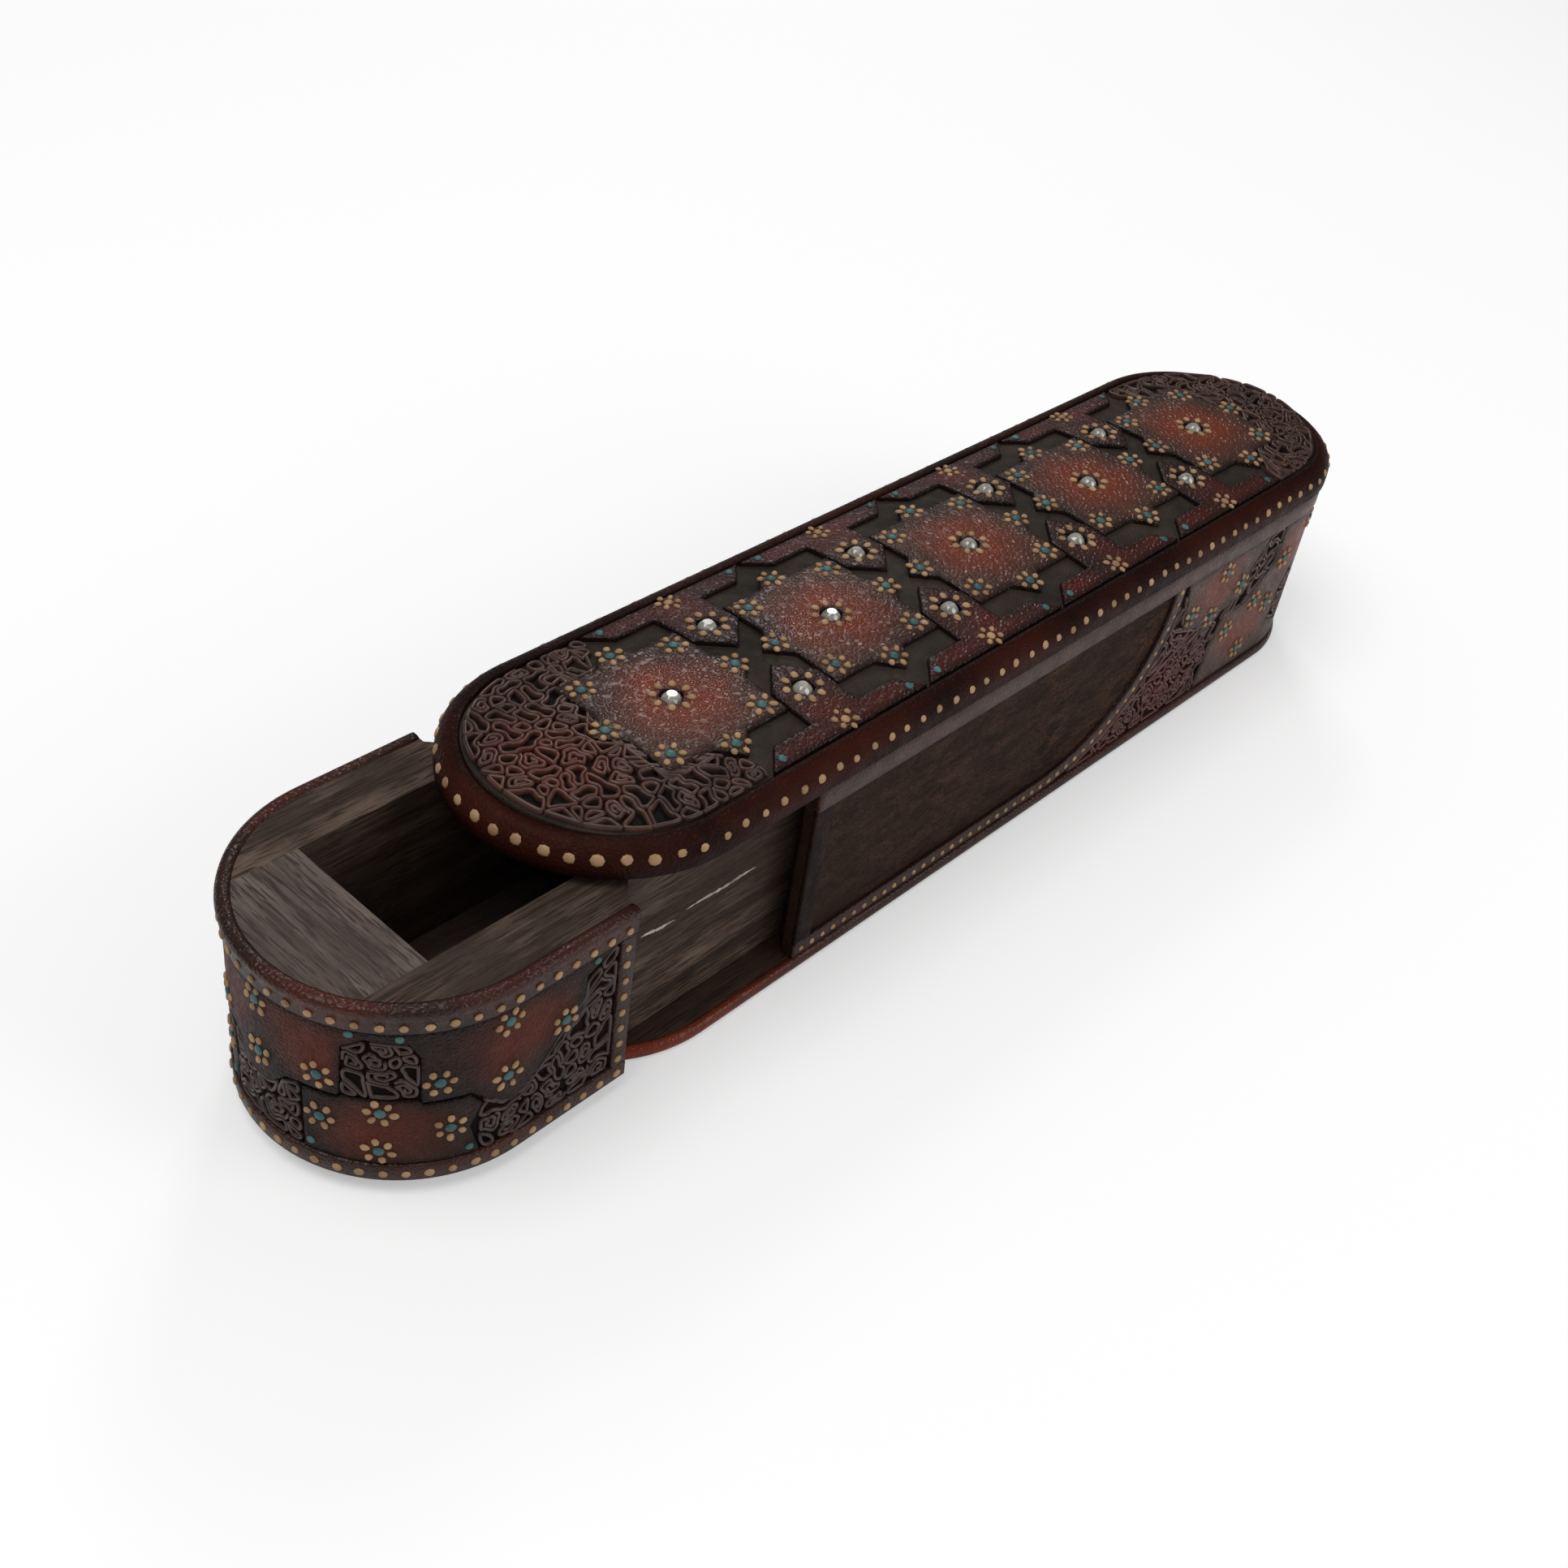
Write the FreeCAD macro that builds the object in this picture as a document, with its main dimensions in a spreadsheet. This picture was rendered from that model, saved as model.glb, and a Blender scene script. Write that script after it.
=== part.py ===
import FreeCAD, Part
import math
import os

import Sketcher

# Leather-covered wooden pen box: a round-ended sleeve and a drawer that slides out of its open front.
# X runs along the box, with the drawer's nose towards -X.  Z is up, and the origin is the middle of
# the base board's underside.  The drawer stands pulled out, as it is shown.

doc = FreeCAD.newDocument("sliding_pen_box")
sheet = doc.addObject("Spreadsheet::Sheet", "Sizes")

# Driving sizes in millimetres: name, value and what it measures.
SIZES = [
    ("box_length", 256.0, "base and lid boards over their round ends"),
    ("box_width", 60.0, "base and lid boards across"),
    ("base_thick", 3.0, "base board"),
    ("base_wrap", 1.5, "leather round the edge of the base board"),
    ("base_bevel", 0.7, "bevel of the base leather's outer edges"),
    ("tunnel_height", 42.0, "clear height between the base board and the lid board"),
    ("mouth_depth", 54.9, "front end of the boards to the front of the side walls"),
    ("wall_thick", 5.4, "wooden side walls"),
    ("wall_inset", 1.6, "edge of the boards to the outside of the walls"),
    ("wall_land", 2.0, "flat front end of a side wall, outside its bevel"),
    ("rear_block_lead", 2.0, "front of the rear block ahead of the middle of the boards' round end"),
    ("skin_thick", 0.9, "leather on the outside of the walls"),
    ("relief", 0.6, "fields and filigree of the sleeve and the nose over their ground leather"),
    ("top_band_height", 5.0, "leather band under the lid"),
    ("top_band_proud", 0.3, "how far that band stands out over the other skins"),
    ("front_strip_width", 4.6, "upright strip at the front of each side"),
    ("strap_width", 3.6, "dotted strap along the bottom of each side"),
    ("strap_turn", 79.0, "front of the side walls to where the strap starts to rise"),
    ("strap_sweep", 41.4, "length of the strap's rising sweep"),
    ("lid_edge_height", 6.4, "leather rim of the lid"),
    ("lid_rim_width", 4.4, "rim of the lid, seen from above"),
    ("lid_rim_slope", 2.4, "slope cut from the rim's outer upper edge"),
    ("lid_rim_ease", 0.9, "smaller slopes that ease it into a round"),
    ("lid_wrap", 1.6, "leather round the edge of the lid board"),
    ("lid_rebate", 4.0, "height of the lid board below its rebate"),
    ("camber_radius", 185.0, "crown of the lid across the box"),
    ("camber_rise", 1.9, "top of the crown above the rim"),
    ("ground_thick", 0.6, "leather on the floor of the lid's channels"),
    ("panel_thick", 1.1, "raised leather panels of the lid"),
    ("border_groove", 0.5, "groove between the panels and the rim"),
    ("star_tip_gap", 5.7, "long tips of a star to the panels' outer edge"),
    ("star_notch", 4.5, "long tips of a star over the sides of its square"),
    ("star_tip_space", 4.4, "tip of one star to the tip of the next"),
    ("star_row_shift", 3.7, "row of stars behind the middle of the lid"),
    ("end_room", 15.0, "least room for filigree before and behind the row"),
    ("foot_gap", 0.5, "half the gap between the feet of two side panels"),
    ("slit_width", 0.4, "slit between a star's corner and a side panel's head"),
    ("filigree_sink", 0.2, "filigree of the lid under the panels' surface"),
    ("filigree_gap", 0.8, "filigree of the lid to the stars"),
    ("loop_pitch", 6.4, "opening to opening in the filigree"),
    ("loop_length", 3.9, "openings of the filigree, which are drop-shaped"),
    ("loop_border", 2.5, "middle of an opening to the edge of the filigree"),
    ("knife_line", 0.5, "cut between the upper and the lower fields of the nose"),
    ("stone_radius", 2.0, "cut glass stones of the lid"),
    ("stone_height", 1.7, "stones over the floor they are set on"),
    ("table_radius", 1.1, "flat top of a stone"),
    ("setting_gap", 0.3, "room round a stone in its hole"),
    ("stone_from_apex", 8.4, "point of a side panel's head to its stone"),
    ("drawer_out", 43.9, "how far the drawer is pulled out as shown"),
    ("drawer_headroom", 1.7, "top of the drawer's wood to the lid"),
    ("drawer_lift", 0.3, "running gap under the drawer"),
    ("slide_gap", 0.4, "running gap at each side of the drawer and behind its nose"),
    ("rear_gap", 1.0, "gap behind the closed drawer"),
    ("rail_thick", 5.8, "rails of the drawer behind the nose"),
    ("well_start", 21.1, "front of the nose to the well"),
    ("well_floor", 4.0, "floor board of the well"),
    ("rear_wall", 10.0, "block at the back of the well"),
    ("nose_rim_width", 2.6, "rolled leather round the nose, seen from above"),
    ("nose_rim_height", 5.4, "rolled rim at the top of the nose"),
    ("nose_rim_proud", 0.4, "rim over the top of the wood"),
    ("nose_rim_bevel", 0.8, "worn bevel of the rolled rim's upper edges"),
    ("nose_foot_height", 3.7, "band along the bottom of the nose"),
    ("nose_cheek_width", 3.4, "upright band at each rear edge of the nose"),
    ("nose_recess", 0.8, "nose leather behind its bands"),
]
for row, (name, value, meaning) in enumerate(SIZES, start=1):
    sheet.set("A%d" % row, meaning)
    sheet.set("B%d" % row, str(value))
    sheet.setAlias("B%d" % row, name)
doc.recompute()


def size(name):
    return float(sheet.get(name))


# Places that several pieces share, worked out from the sizes above.
HALF = size("box_width") / 2
FRONT = -size("box_length") / 2
REAR = size("box_length") / 2
BASE_TOP = size("base_thick")
LID_UNDERSIDE = BASE_TOP + size("tunnel_height")
MOUTH = FRONT + size("mouth_depth")
WALL_OUTSIDE = HALF - size("wall_inset")
WALL_INSIDE = WALL_OUTSIDE - size("wall_thick")
SKIN_OUTSIDE = WALL_OUTSIDE + size("skin_thick")
BLOCK_FRONT = REAR - HALF - size("rear_block_lead")
FIELD_HALF = HALF - size("lid_rim_width")
LID_CROWN = LID_UNDERSIDE + size("lid_edge_height") + size("camber_rise")
pieces = []


def point(x, y):
    return FreeCAD.Vector(x, y, 0)


def line(start, end):
    return Part.LineSegment(point(*start), point(*end))


def arc(start, through, end):
    """Arc through three points, always kept anticlockwise."""
    turn = (through[0] - start[0]) * (end[1] - through[1]) - (through[1] - start[1]) * (end[0] - through[0])
    if turn < 0:
        start, end = end, start
    return Part.Arc(point(*start), point(*through), point(*end))


def closed_polygon(corners):
    return [line(a, b) for a, b in zip(corners, corners[1:] + corners[:1])]


def is_inside(corners, x, y):
    hit = False
    for (xa, ya), (xb, yb) in zip(corners, corners[1:] + corners[:1]):
        if (ya > y) != (yb > y) and x < xa + (y - ya) * (xb - xa) / (yb - ya):
            hit = not hit
    return hit


def distance_to(corners, x, y):
    """Distance from a place to the nearest edge of a polygon."""
    nearest = math.inf
    for (xa, ya), (xb, yb) in zip(corners, corners[1:] + corners[:1]):
        dx = xb - xa
        dy = yb - ya
        share = max(0.0, min(1.0, ((x - xa) * dx + (y - ya) * dy) / (dx * dx + dy * dy)))
        nearest = min(nearest, math.hypot(x - xa - share * dx, y - ya - share * dy))
    return nearest


def drop_opening(x, y, angle):
    """Drop-shaped opening of the filigree, its point towards the angle."""
    length = size("loop_length")
    corners = []
    for along, across in ((0.55, 0.0), (-0.1, 0.32), (-0.45, 0.2), (-0.45, -0.2), (-0.1, -0.32)):
        corners.append((
            x + length * (along * math.cos(angle) - across * math.sin(angle)),
            y + length * (along * math.sin(angle) + across * math.cos(angle)),
        ))
    return closed_polygon(corners)


def drop_openings(corners):
    """Openings in staggered rows over a polygon, each turned a little further than the last."""
    pitch = size("loop_pitch")
    low_x = min(x for x, y in corners)
    low_y = min(y for x, y in corners)
    columns = int((max(x for x, y in corners) - low_x) / pitch) + 1
    rows = int((max(y for x, y in corners) - low_y) / (0.87 * pitch)) + 1
    loops = []
    for row in range(rows):
        for column in range(columns):
            x = low_x + (column + 0.25 + 0.5 * (row % 2)) * pitch
            y = low_y + (row + 0.55) * 0.87 * pitch
            if is_inside(corners, x, y) and distance_to(corners, x, y) > size("loop_border"):
                loops.append(drop_opening(x, y, 2.4 * len(loops)))
    return loops


def round_ended(front, rear, half):
    """Outline with a half circle at each end and straight sides."""
    a = front + half
    b = rear - half
    return [
        line((a, -half), (b, -half)),
        arc((b, -half), (rear, 0), (b, half)),
        line((b, half), (a, half)),
        arc((a, half), (front, 0), (a, -half)),
    ]


def round_rear(front, rear, half):
    """Outline with square front corners and a half circle at the rear."""
    b = rear - half
    return [
        line((front, -half), (b, -half)),
        arc((b, -half), (rear, 0), (b, half)),
        line((b, half), (front, half)),
        line((front, half), (front, -half)),
    ]


def rear_band(front, rear, half, thick):
    """Band of one thickness along both sides and round the rear."""
    b = rear - half
    inner = half - thick
    return [
        line((front, -half), (b, -half)),
        arc((b, -half), (rear, 0), (b, half)),
        line((b, half), (front, half)),
        line((front, half), (front, inner)),
        line((front, inner), (b, inner)),
        arc((b, inner), (rear - thick, 0), (b, -inner)),
        line((b, -inner), (front, -inner)),
        line((front, -inner), (front, -half)),
    ]


def nose_band(front, rear, half, thick):
    """Band of one thickness round the front and along both sides."""
    a = front + half
    inner = half - thick
    return [
        line((rear, half), (a, half)),
        arc((a, half), (front, 0), (a, -half)),
        line((a, -half), (rear, -half)),
        line((rear, -half), (rear, -inner)),
        line((rear, -inner), (a, -inner)),
        arc((a, -inner), (front + thick, 0), (a, inner)),
        line((a, inner), (rear, inner)),
        line((rear, inner), (rear, half)),
    ]


def origin_plane(body, role):
    for feature in body.Origin.OriginFeatures:
        if feature.Role == role:
            return feature
    raise ValueError(role)


def outline_sketch(body, name, role, loops, offset=None):
    """Sketch on one of the body's own planes, its loops joined end to end."""
    sketch = body.newObject("Sketcher::SketchObject", name)
    sketch.AttachmentSupport = [(origin_plane(body, role), "")]
    sketch.MapMode = "FlatFace"
    if offset:
        sketch.setExpression("AttachmentOffset.Base.z", offset)
    for loop in loops:
        first = sketch.GeometryCount
        sketch.addGeometry(loop, False)
        join_ends(sketch, first)
    return sketch


def end_points(sketch, index):
    edge = sketch.Geometry[index]
    return [(1, edge.StartPoint), (2, edge.EndPoint)]


def join_ends(sketch, first):
    """Tie each edge's ends to the next edge's, where they meet."""
    last = sketch.GeometryCount
    joints = []
    for index in range(first, last):
        following = first if index == last - 1 else index + 1
        for end, place in end_points(sketch, index):
            for start, other in end_points(sketch, following):
                if place.distanceToPoint(other) < 1e-6:
                    joints.append(Sketcher.Constraint("Coincident", index, end, following, start))
    sketch.addConstraint(joints)


def new_body(label):
    body = doc.addObject("PartDesign::Body", label)
    body.Label = label
    body.AllowCompound = True
    pieces.append(body)
    return body


def pad(body, loops, level, height, role="XY_Plane", reversed_side=False):
    """Pad of an outline from a level, both given as expressions of the sizes."""
    sketch = outline_sketch(body, "Outline", role, loops, level)
    feature = body.newObject("PartDesign::Pad", "Pad")
    feature.Profile = sketch
    feature.setExpression("Length", height)
    feature.Reversed = reversed_side
    doc.recompute()
    return feature


def pocket_through(body, loops, role):
    """Pocket of an outline right through the body, to both sides of the plane."""
    before = body.Shape.Volume
    sketch = outline_sketch(body, "Cutting", role, loops)
    feature = body.newObject("PartDesign::Pocket", "Pocket")
    feature.Profile = sketch
    feature.Type = 1
    feature.Midplane = True
    doc.recompute()
    if body.Shape.Volume >= before:
        raise ValueError("the pocket of " + body.Label + " cuts nothing")
    return feature


def bevel_edges(body, width, chosen):
    """Small bevel on the edges of the tip that the given test picks out."""
    base = body.Tip
    names = ["Edge%d" % (i + 1) for i, edge in enumerate(base.Shape.Edges) if chosen(edge)]
    feature = body.newObject("PartDesign::Chamfer", "Bevel")
    feature.Base = (base, names)
    feature.setExpression("Size", width)
    doc.recompute()
    return feature


def lies_at(edge, level):
    box = edge.BoundBox
    return abs(box.ZMin - level) < 1e-4 and abs(box.ZMax - level) < 1e-4


def on_outline(edge, front, rear, half):
    """True where an edge's middle lies on the round-ended outline."""
    middle = edge.valueAt((edge.FirstParameter + edge.LastParameter) / 2)
    x = min(max(middle.x, front + half), rear - half)
    return abs(math.hypot(middle.x - x, middle.y) - half) < 1e-3


# Base: a thin board with round ends, its edge wrapped in leather.
board_half = HALF - size("base_wrap")
board_front = FRONT + size("base_wrap")
board_rear = REAR - size("base_wrap")

base_board = new_body("base_board")
pad(base_board, [round_ended(board_front, board_rear, board_half)], None, "Sizes.base_thick")

base_edge = new_body("base_edge_leather")
pad(
    base_edge,
    [round_ended(FRONT, REAR, HALF), round_ended(board_front, board_rear, board_half)],
    None,
    "Sizes.base_thick",
)
bevel_edges(
    base_edge,
    "Sizes.base_bevel",
    lambda e: (lies_at(e, 0) or lies_at(e, BASE_TOP)) and on_outline(e, FRONT, REAR, HALF),
)


# Side walls: straight boards, bevelled inside at the mouth so that the drawer's shoulders seat in them.
def side_wall(label, side):
    bevel = WALL_OUTSIDE - size("wall_land") - WALL_INSIDE
    corners = [
        (MOUTH, side * WALL_OUTSIDE),
        (MOUTH, side * (WALL_OUTSIDE - size("wall_land"))),
        (MOUTH + bevel, side * WALL_INSIDE),
        (BLOCK_FRONT, side * WALL_INSIDE),
        (BLOCK_FRONT, side * WALL_OUTSIDE),
    ]
    pad(new_body(label), [closed_polygon(corners)], "Sizes.base_thick", "Sizes.tunnel_height")


side_wall("side_wall_right", -1)
side_wall("side_wall_left", 1)

rear_block = new_body("rear_block")
pad(
    rear_block,
    [round_rear(BLOCK_FRONT, REAR - size("wall_inset"), WALL_OUTSIDE)],
    "Sizes.base_thick",
    "Sizes.tunnel_height",
)

# Leather on the outside of the sleeve: a band under the lid, an upright strip at each front end, a
# strap along the bottom that sweeps up to the band, and the leather behind it, right round the rear.
SKIN_REAR = REAR - size("wall_inset") + size("skin_thick")
BAND_BOTTOM = LID_UNDERSIDE - size("top_band_height")
STRIP_REAR = MOUTH + size("front_strip_width")
SWEEP_START = MOUTH + size("strap_turn")
SWEEP_END = SWEEP_START + size("strap_sweep")
SWEEP_RISE = BAND_BOTTOM - BASE_TOP - size("strap_width") / 2

top_band = new_body("side_top_band")
proud = size("top_band_proud")
pad(
    top_band,
    [rear_band(MOUTH, SKIN_REAR + proud, SKIN_OUTSIDE + proud, size("skin_thick") + proud)],
    "Sizes.base_thick + Sizes.tunnel_height - Sizes.top_band_height",
    "Sizes.top_band_height",
)


def sweep(offset):
    """Quarter ellipse of the strap, moved out or in from its middle line."""
    middle = FreeCAD.Vector(SWEEP_START, BAND_BOTTOM, 0)
    along = size("strap_sweep") + offset
    rise = SWEEP_RISE + offset
    if along >= rise:
        ellipse = Part.Ellipse(middle + point(along, 0), middle + point(0, rise), middle)
        return Part.ArcOfEllipse(ellipse, -math.pi / 2, 0)
    ellipse = Part.Ellipse(middle + point(0, rise), middle + point(-along, 0), middle)
    return Part.ArcOfEllipse(ellipse, math.pi, 1.5 * math.pi)


def side_skin(label, loops, side, thick="Sizes.skin_thick"):
    """Skin on the flat of one side, its outside flush with the others, drawn in the XZ plane."""
    body = new_body(label)
    outside = "Sizes.box_width / 2 - Sizes.wall_inset + Sizes.skin_thick"
    level = outside + " - " + thick if side < 0 else "-(" + outside + ")"
    pad(body, loops, level, thick, role="XZ_Plane")
    return body


def strap_outline():
    half = size("strap_width") / 2
    outer = sweep(half)
    inner = sweep(-half)
    bottom = BASE_TOP
    top = BASE_TOP + size("strap_width")
    return [
        line((MOUTH, bottom), (SWEEP_START, bottom)),
        outer,
        line((SWEEP_END + half, BAND_BOTTOM), (SWEEP_END - half, BAND_BOTTOM)),
        inner,
        line((SWEEP_START, top), (MOUTH, top)),
        line((MOUTH, top), (MOUTH, bottom)),
    ]


def strip_outline():
    top = BASE_TOP + size("strap_width")
    return closed_polygon([(MOUTH, top), (STRIP_REAR, top), (STRIP_REAR, BAND_BOTTOM), (MOUTH, BAND_BOTTOM)])


for name, side in (("right", -1), ("left", 1)):
    side_skin("side_front_strip_" + name, [strip_outline()], side)
    side_skin("side_strap_" + name, [strap_outline()], side)

# Behind the strap lies a thin ground leather, and on it a field under the band, a field that runs right
# round the rear, and the filigree: a patch in the strap's hollow and a ribbon that climbs to the band.
relief = size("relief")
rear_leather = new_body("rear_leather")
pad(
    rear_leather,
    [rear_band(SWEEP_START, SKIN_REAR - relief, SKIN_OUTSIDE - relief, size("skin_thick") - relief)],
    "Sizes.base_thick",
    "Sizes.tunnel_height - Sizes.top_band_height",
)
clear_of_strap = [
    line((SWEEP_START, BASE_TOP), (SWEEP_START - size("strap_sweep"), BASE_TOP)),
    line((SWEEP_START - size("strap_sweep"), BASE_TOP), (SWEEP_START - size("strap_sweep"), BAND_BOTTOM)),
    line((SWEEP_START - size("strap_sweep"), BAND_BOTTOM), (SWEEP_END + size("strap_width") / 2, BAND_BOTTOM)),
    sweep(size("strap_width") / 2),
]
pocket_through(rear_leather, [clear_of_strap], "XZ_Plane")


def side_places(shares):
    """Places on a side, from shares of the way to the round end and of the height under the band."""
    flat = REAR - HALF - SWEEP_END
    height = BAND_BOTTOM - BASE_TOP
    return [(SWEEP_END + along * flat, BASE_TOP + up * height) for along, up in shares]


PATCH_EDGE = side_places([(0.09, 1.0), (0.10, 0.81), (0.13, 0.63), (0.30, 0.54), (0.36, 0.45)])
RIBBON_UPPER = side_places([(0.46, 0.60), (0.66, 0.64), (0.66, 0.81), (0.77, 1.0)])
RIBBON_LOWER = side_places([(0.90, 1.0), (0.90, 0.74), (0.68, 0.52), (0.52, 0.51), (0.46, 0.31), (0.42, 0.0)])
STRAP_HALF = size("strap_width") / 2

rear_field = new_body("rear_field_leather")
pad(
    rear_field,
    [rear_band(RIBBON_LOWER[-1][0], SKIN_REAR, SKIN_OUTSIDE, relief)],
    "Sizes.base_thick",
    "Sizes.tunnel_height - Sizes.top_band_height",
)
ahead_of_field = RIBBON_LOWER + [(SWEEP_START, BASE_TOP), (SWEEP_START, BAND_BOTTOM)]
pocket_through(rear_field, [closed_polygon(ahead_of_field)], "XZ_Plane")

filigree_edge = [(SWEEP_END + STRAP_HALF, BAND_BOTTOM)] + PATCH_EDGE + RIBBON_UPPER + RIBBON_LOWER
filigree_edge.append((SWEEP_START, BASE_TOP))
filigree_loop = [line(a, b) for a, b in zip(filigree_edge, filigree_edge[1:])] + [sweep(STRAP_HALF)]
hollow = []
for k in range(9):
    angle = k * math.pi / 16
    hollow.append((
        SWEEP_START + (size("strap_sweep") + STRAP_HALF) * math.sin(angle),
        BAND_BOTTOM - (SWEEP_RISE + STRAP_HALF) * math.cos(angle),
    ))
filigree_openings = drop_openings(hollow + filigree_edge[1:-1])
for name, side in (("right", -1), ("left", 1)):
    side_skin("side_field_" + name, [closed_polygon(PATCH_EDGE + RIBBON_UPPER)], side, "Sizes.relief")
    side_skin("side_filigree_" + name, [filigree_loop] + filigree_openings, side, "Sizes.relief")

# Lid: a board with a rebated edge under a rounded leather rim, crowned across the box.
REBATE_FRONT = FRONT + size("lid_wrap")
REBATE_REAR = REAR - size("lid_wrap")
FIELD_FRONT = FRONT + size("lid_rim_width")
FIELD_REAR = REAR - size("lid_rim_width")

lid_rim = new_body("lid_rim_leather")
pad(
    lid_rim,
    [round_ended(FRONT, REAR, HALF), round_ended(FIELD_FRONT, FIELD_REAR, FIELD_HALF)],
    "Sizes.base_thick + Sizes.tunnel_height",
    "Sizes.lid_edge_height",
)
rebate = outline_sketch(
    lid_rim,
    "Rebate",
    "XY_Plane",
    [round_ended(REBATE_FRONT, REBATE_REAR, HALF - size("lid_wrap"))],
    "Sizes.base_thick + Sizes.tunnel_height",
)
rebate_pocket = lid_rim.newObject("PartDesign::Pocket", "RebatePocket")
rebate_pocket.Profile = rebate
rebate_pocket.Reversed = True
rebate_pocket.setExpression("Length", "Sizes.lid_rebate")
doc.recompute()
RIM_TOP = LID_UNDERSIDE + size("lid_edge_height")
slope = size("lid_rim_slope")
bevel_edges(
    lid_rim,
    "Sizes.lid_rim_slope",
    lambda e: lies_at(e, RIM_TOP) and on_outline(e, FRONT, REAR, HALF),
)
bevel_edges(
    lid_rim,
    "Sizes.lid_rim_ease",
    lambda e: (lies_at(e, RIM_TOP) and on_outline(e, FRONT + slope, REAR - slope, HALF - slope))
    or (lies_at(e, RIM_TOP - slope) and on_outline(e, FRONT, REAR, HALF)),
)


def crown_cylinder(name, depth):
    """Round bar along the box whose top is the crown, less a depth given as an expression."""
    bar = doc.addObject("Part::Cylinder", name)
    bar.setExpression("Radius", "Sizes.camber_radius - (" + depth + ")")
    bar.setExpression("Height", "Sizes.box_length")
    axis_level = LID_CROWN - size("camber_radius")
    turn = FreeCAD.Rotation(FreeCAD.Vector(0, 1, 0), 90)
    bar.Placement = FreeCAD.Placement(FreeCAD.Vector(FRONT, 0, axis_level), turn)
    return bar


def flat_outline(name, loops, level):
    """Free sketch in plan, at a level."""
    sketch = doc.addObject("Sketcher::SketchObject", name)
    for loop in loops:
        first = sketch.GeometryCount
        sketch.addGeometry(loop, False)
        join_ends(sketch, first)
    sketch.Placement.Base.z = level
    return sketch


def crowned_layer(label, loops, top_depth, bottom_depth=None):
    """Layer of the lid with a plan outline, between two depths under its crowned surface."""
    blank = doc.addObject("Part::Extrusion", label + "_blank")
    blank.Base = flat_outline(label + "_outline", loops, LID_UNDERSIDE)
    blank.DirMode = "Normal"
    blank.Solid = True
    blank.setExpression("LengthFwd", "Sizes.lid_edge_height + Sizes.camber_rise + Sizes.camber_rise")
    crown = crown_cylinder(label + "_crown", top_depth)
    layer = doc.addObject("Part::Common", label + "_layer" if bottom_depth else label)
    layer.Base = blank
    layer.Tool = crown
    if bottom_depth:
        seat = crown_cylinder(label + "_seat", bottom_depth)
        crowned = layer
        layer = doc.addObject("Part::Cut", label)
        layer.Base = crowned
        layer.Tool = seat
    doc.recompute()
    layer.Label = label
    pieces.append(layer)
    return layer


PANEL = "Sizes.panel_thick"
GROUND = "Sizes.panel_thick + Sizes.ground_thick"

lid_foot = doc.addObject("Part::Extrusion", "lid_board_foot")
lid_foot.Base = flat_outline(
    "lid_board_foot_outline",
    [round_ended(REBATE_FRONT, REBATE_REAR, HALF - size("lid_wrap"))],
    LID_UNDERSIDE,
)
lid_foot.DirMode = "Normal"
lid_foot.Solid = True
lid_foot.setExpression("LengthFwd", "Sizes.lid_rebate")
lid_crowned = crowned_layer("lid_board_crowned", [round_ended(FIELD_FRONT, FIELD_REAR, FIELD_HALF)], GROUND)
pieces.remove(lid_crowned)
lid_board = doc.addObject("Part::Fuse", "lid_board")
lid_board.Base = lid_foot
lid_board.Tool = lid_crowned
lid_board.Label = "lid_board"
pieces.append(lid_board)
doc.recompute()

crowned_layer("lid_ground_leather", [round_ended(FIELD_FRONT, FIELD_REAR, FIELD_HALF)], PANEL, GROUND)

# Strapwork: eight-pointed stars, each a square with a square turned on its point, and the side panels
# that lie between them.  The channels between the panels read as one woven strap.
PANEL_EDGE = FIELD_HALF - size("border_groove")
STAR_TIP = PANEL_EDGE - size("star_tip_gap")
STAR_SQUARE = STAR_TIP - size("star_notch")
STAR_PITCH = 2 * STAR_TIP + size("star_tip_space")
ROOM = FIELD_REAR - FIELD_FRONT - 2 * size("end_room")
STAR_COUNT = int((ROOM + size("star_tip_space")) / STAR_PITCH)
FIRST_STAR = size("star_row_shift") - (STAR_COUNT - 1) * STAR_PITCH / 2
STAR_PLACES = [FIRST_STAR + k * STAR_PITCH for k in range(STAR_COUNT)]
SLANT = PANEL_EDGE + size("foot_gap")
HEAD_APEX = SLANT - STAR_PITCH / 2


def star(x, grown=0):
    """Corners of an eight-pointed star: the square's, and the tips of the turned square."""
    tip = STAR_TIP + grown
    side = STAR_SQUARE + grown
    notch = size("star_notch")
    corners = []
    for turn in range(4):
        angle = turn * math.pi / 2
        for along, across in ((tip, 0), (side, notch), (side, side), (notch, side)):
            corners.append((
                x + along * math.cos(angle) - across * math.sin(angle),
                along * math.sin(angle) + across * math.cos(angle),
            ))
    return corners


def side_panel(x, side):
    """Panel between two stars: a pointed head on a wide foot along the rim."""
    head = STAR_PITCH / 2 - STAR_SQUARE - size("slit_width")
    shoulder = HEAD_APEX + head
    foot_top = SLANT - size("star_tip_gap") + size("slit_width")
    reach = STAR_PITCH / 2 - size("foot_gap")
    foot_half = STAR_PITCH / 2 - (SLANT - foot_top)
    corners = [
        (x, side * HEAD_APEX),
        (x + head, side * shoulder),
        (x + head, side * foot_top),
        (x + foot_half, side * foot_top),
        (x + reach, side * PANEL_EDGE),
        (x - reach, side * PANEL_EDGE),
        (x - foot_half, side * foot_top),
        (x - head, side * foot_top),
        (x - head, side * shoulder),
    ]
    return closed_polygon(corners)


def stone_hole(x, y):
    """Eight-sided hole of a stone."""
    reach = (size("stone_radius") + size("setting_gap")) / math.cos(math.pi / 8)
    angles = [(k + 0.5) * math.pi / 4 for k in range(8)]
    return closed_polygon([(x + reach * math.cos(a), y + reach * math.sin(a)) for a in angles])


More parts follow.
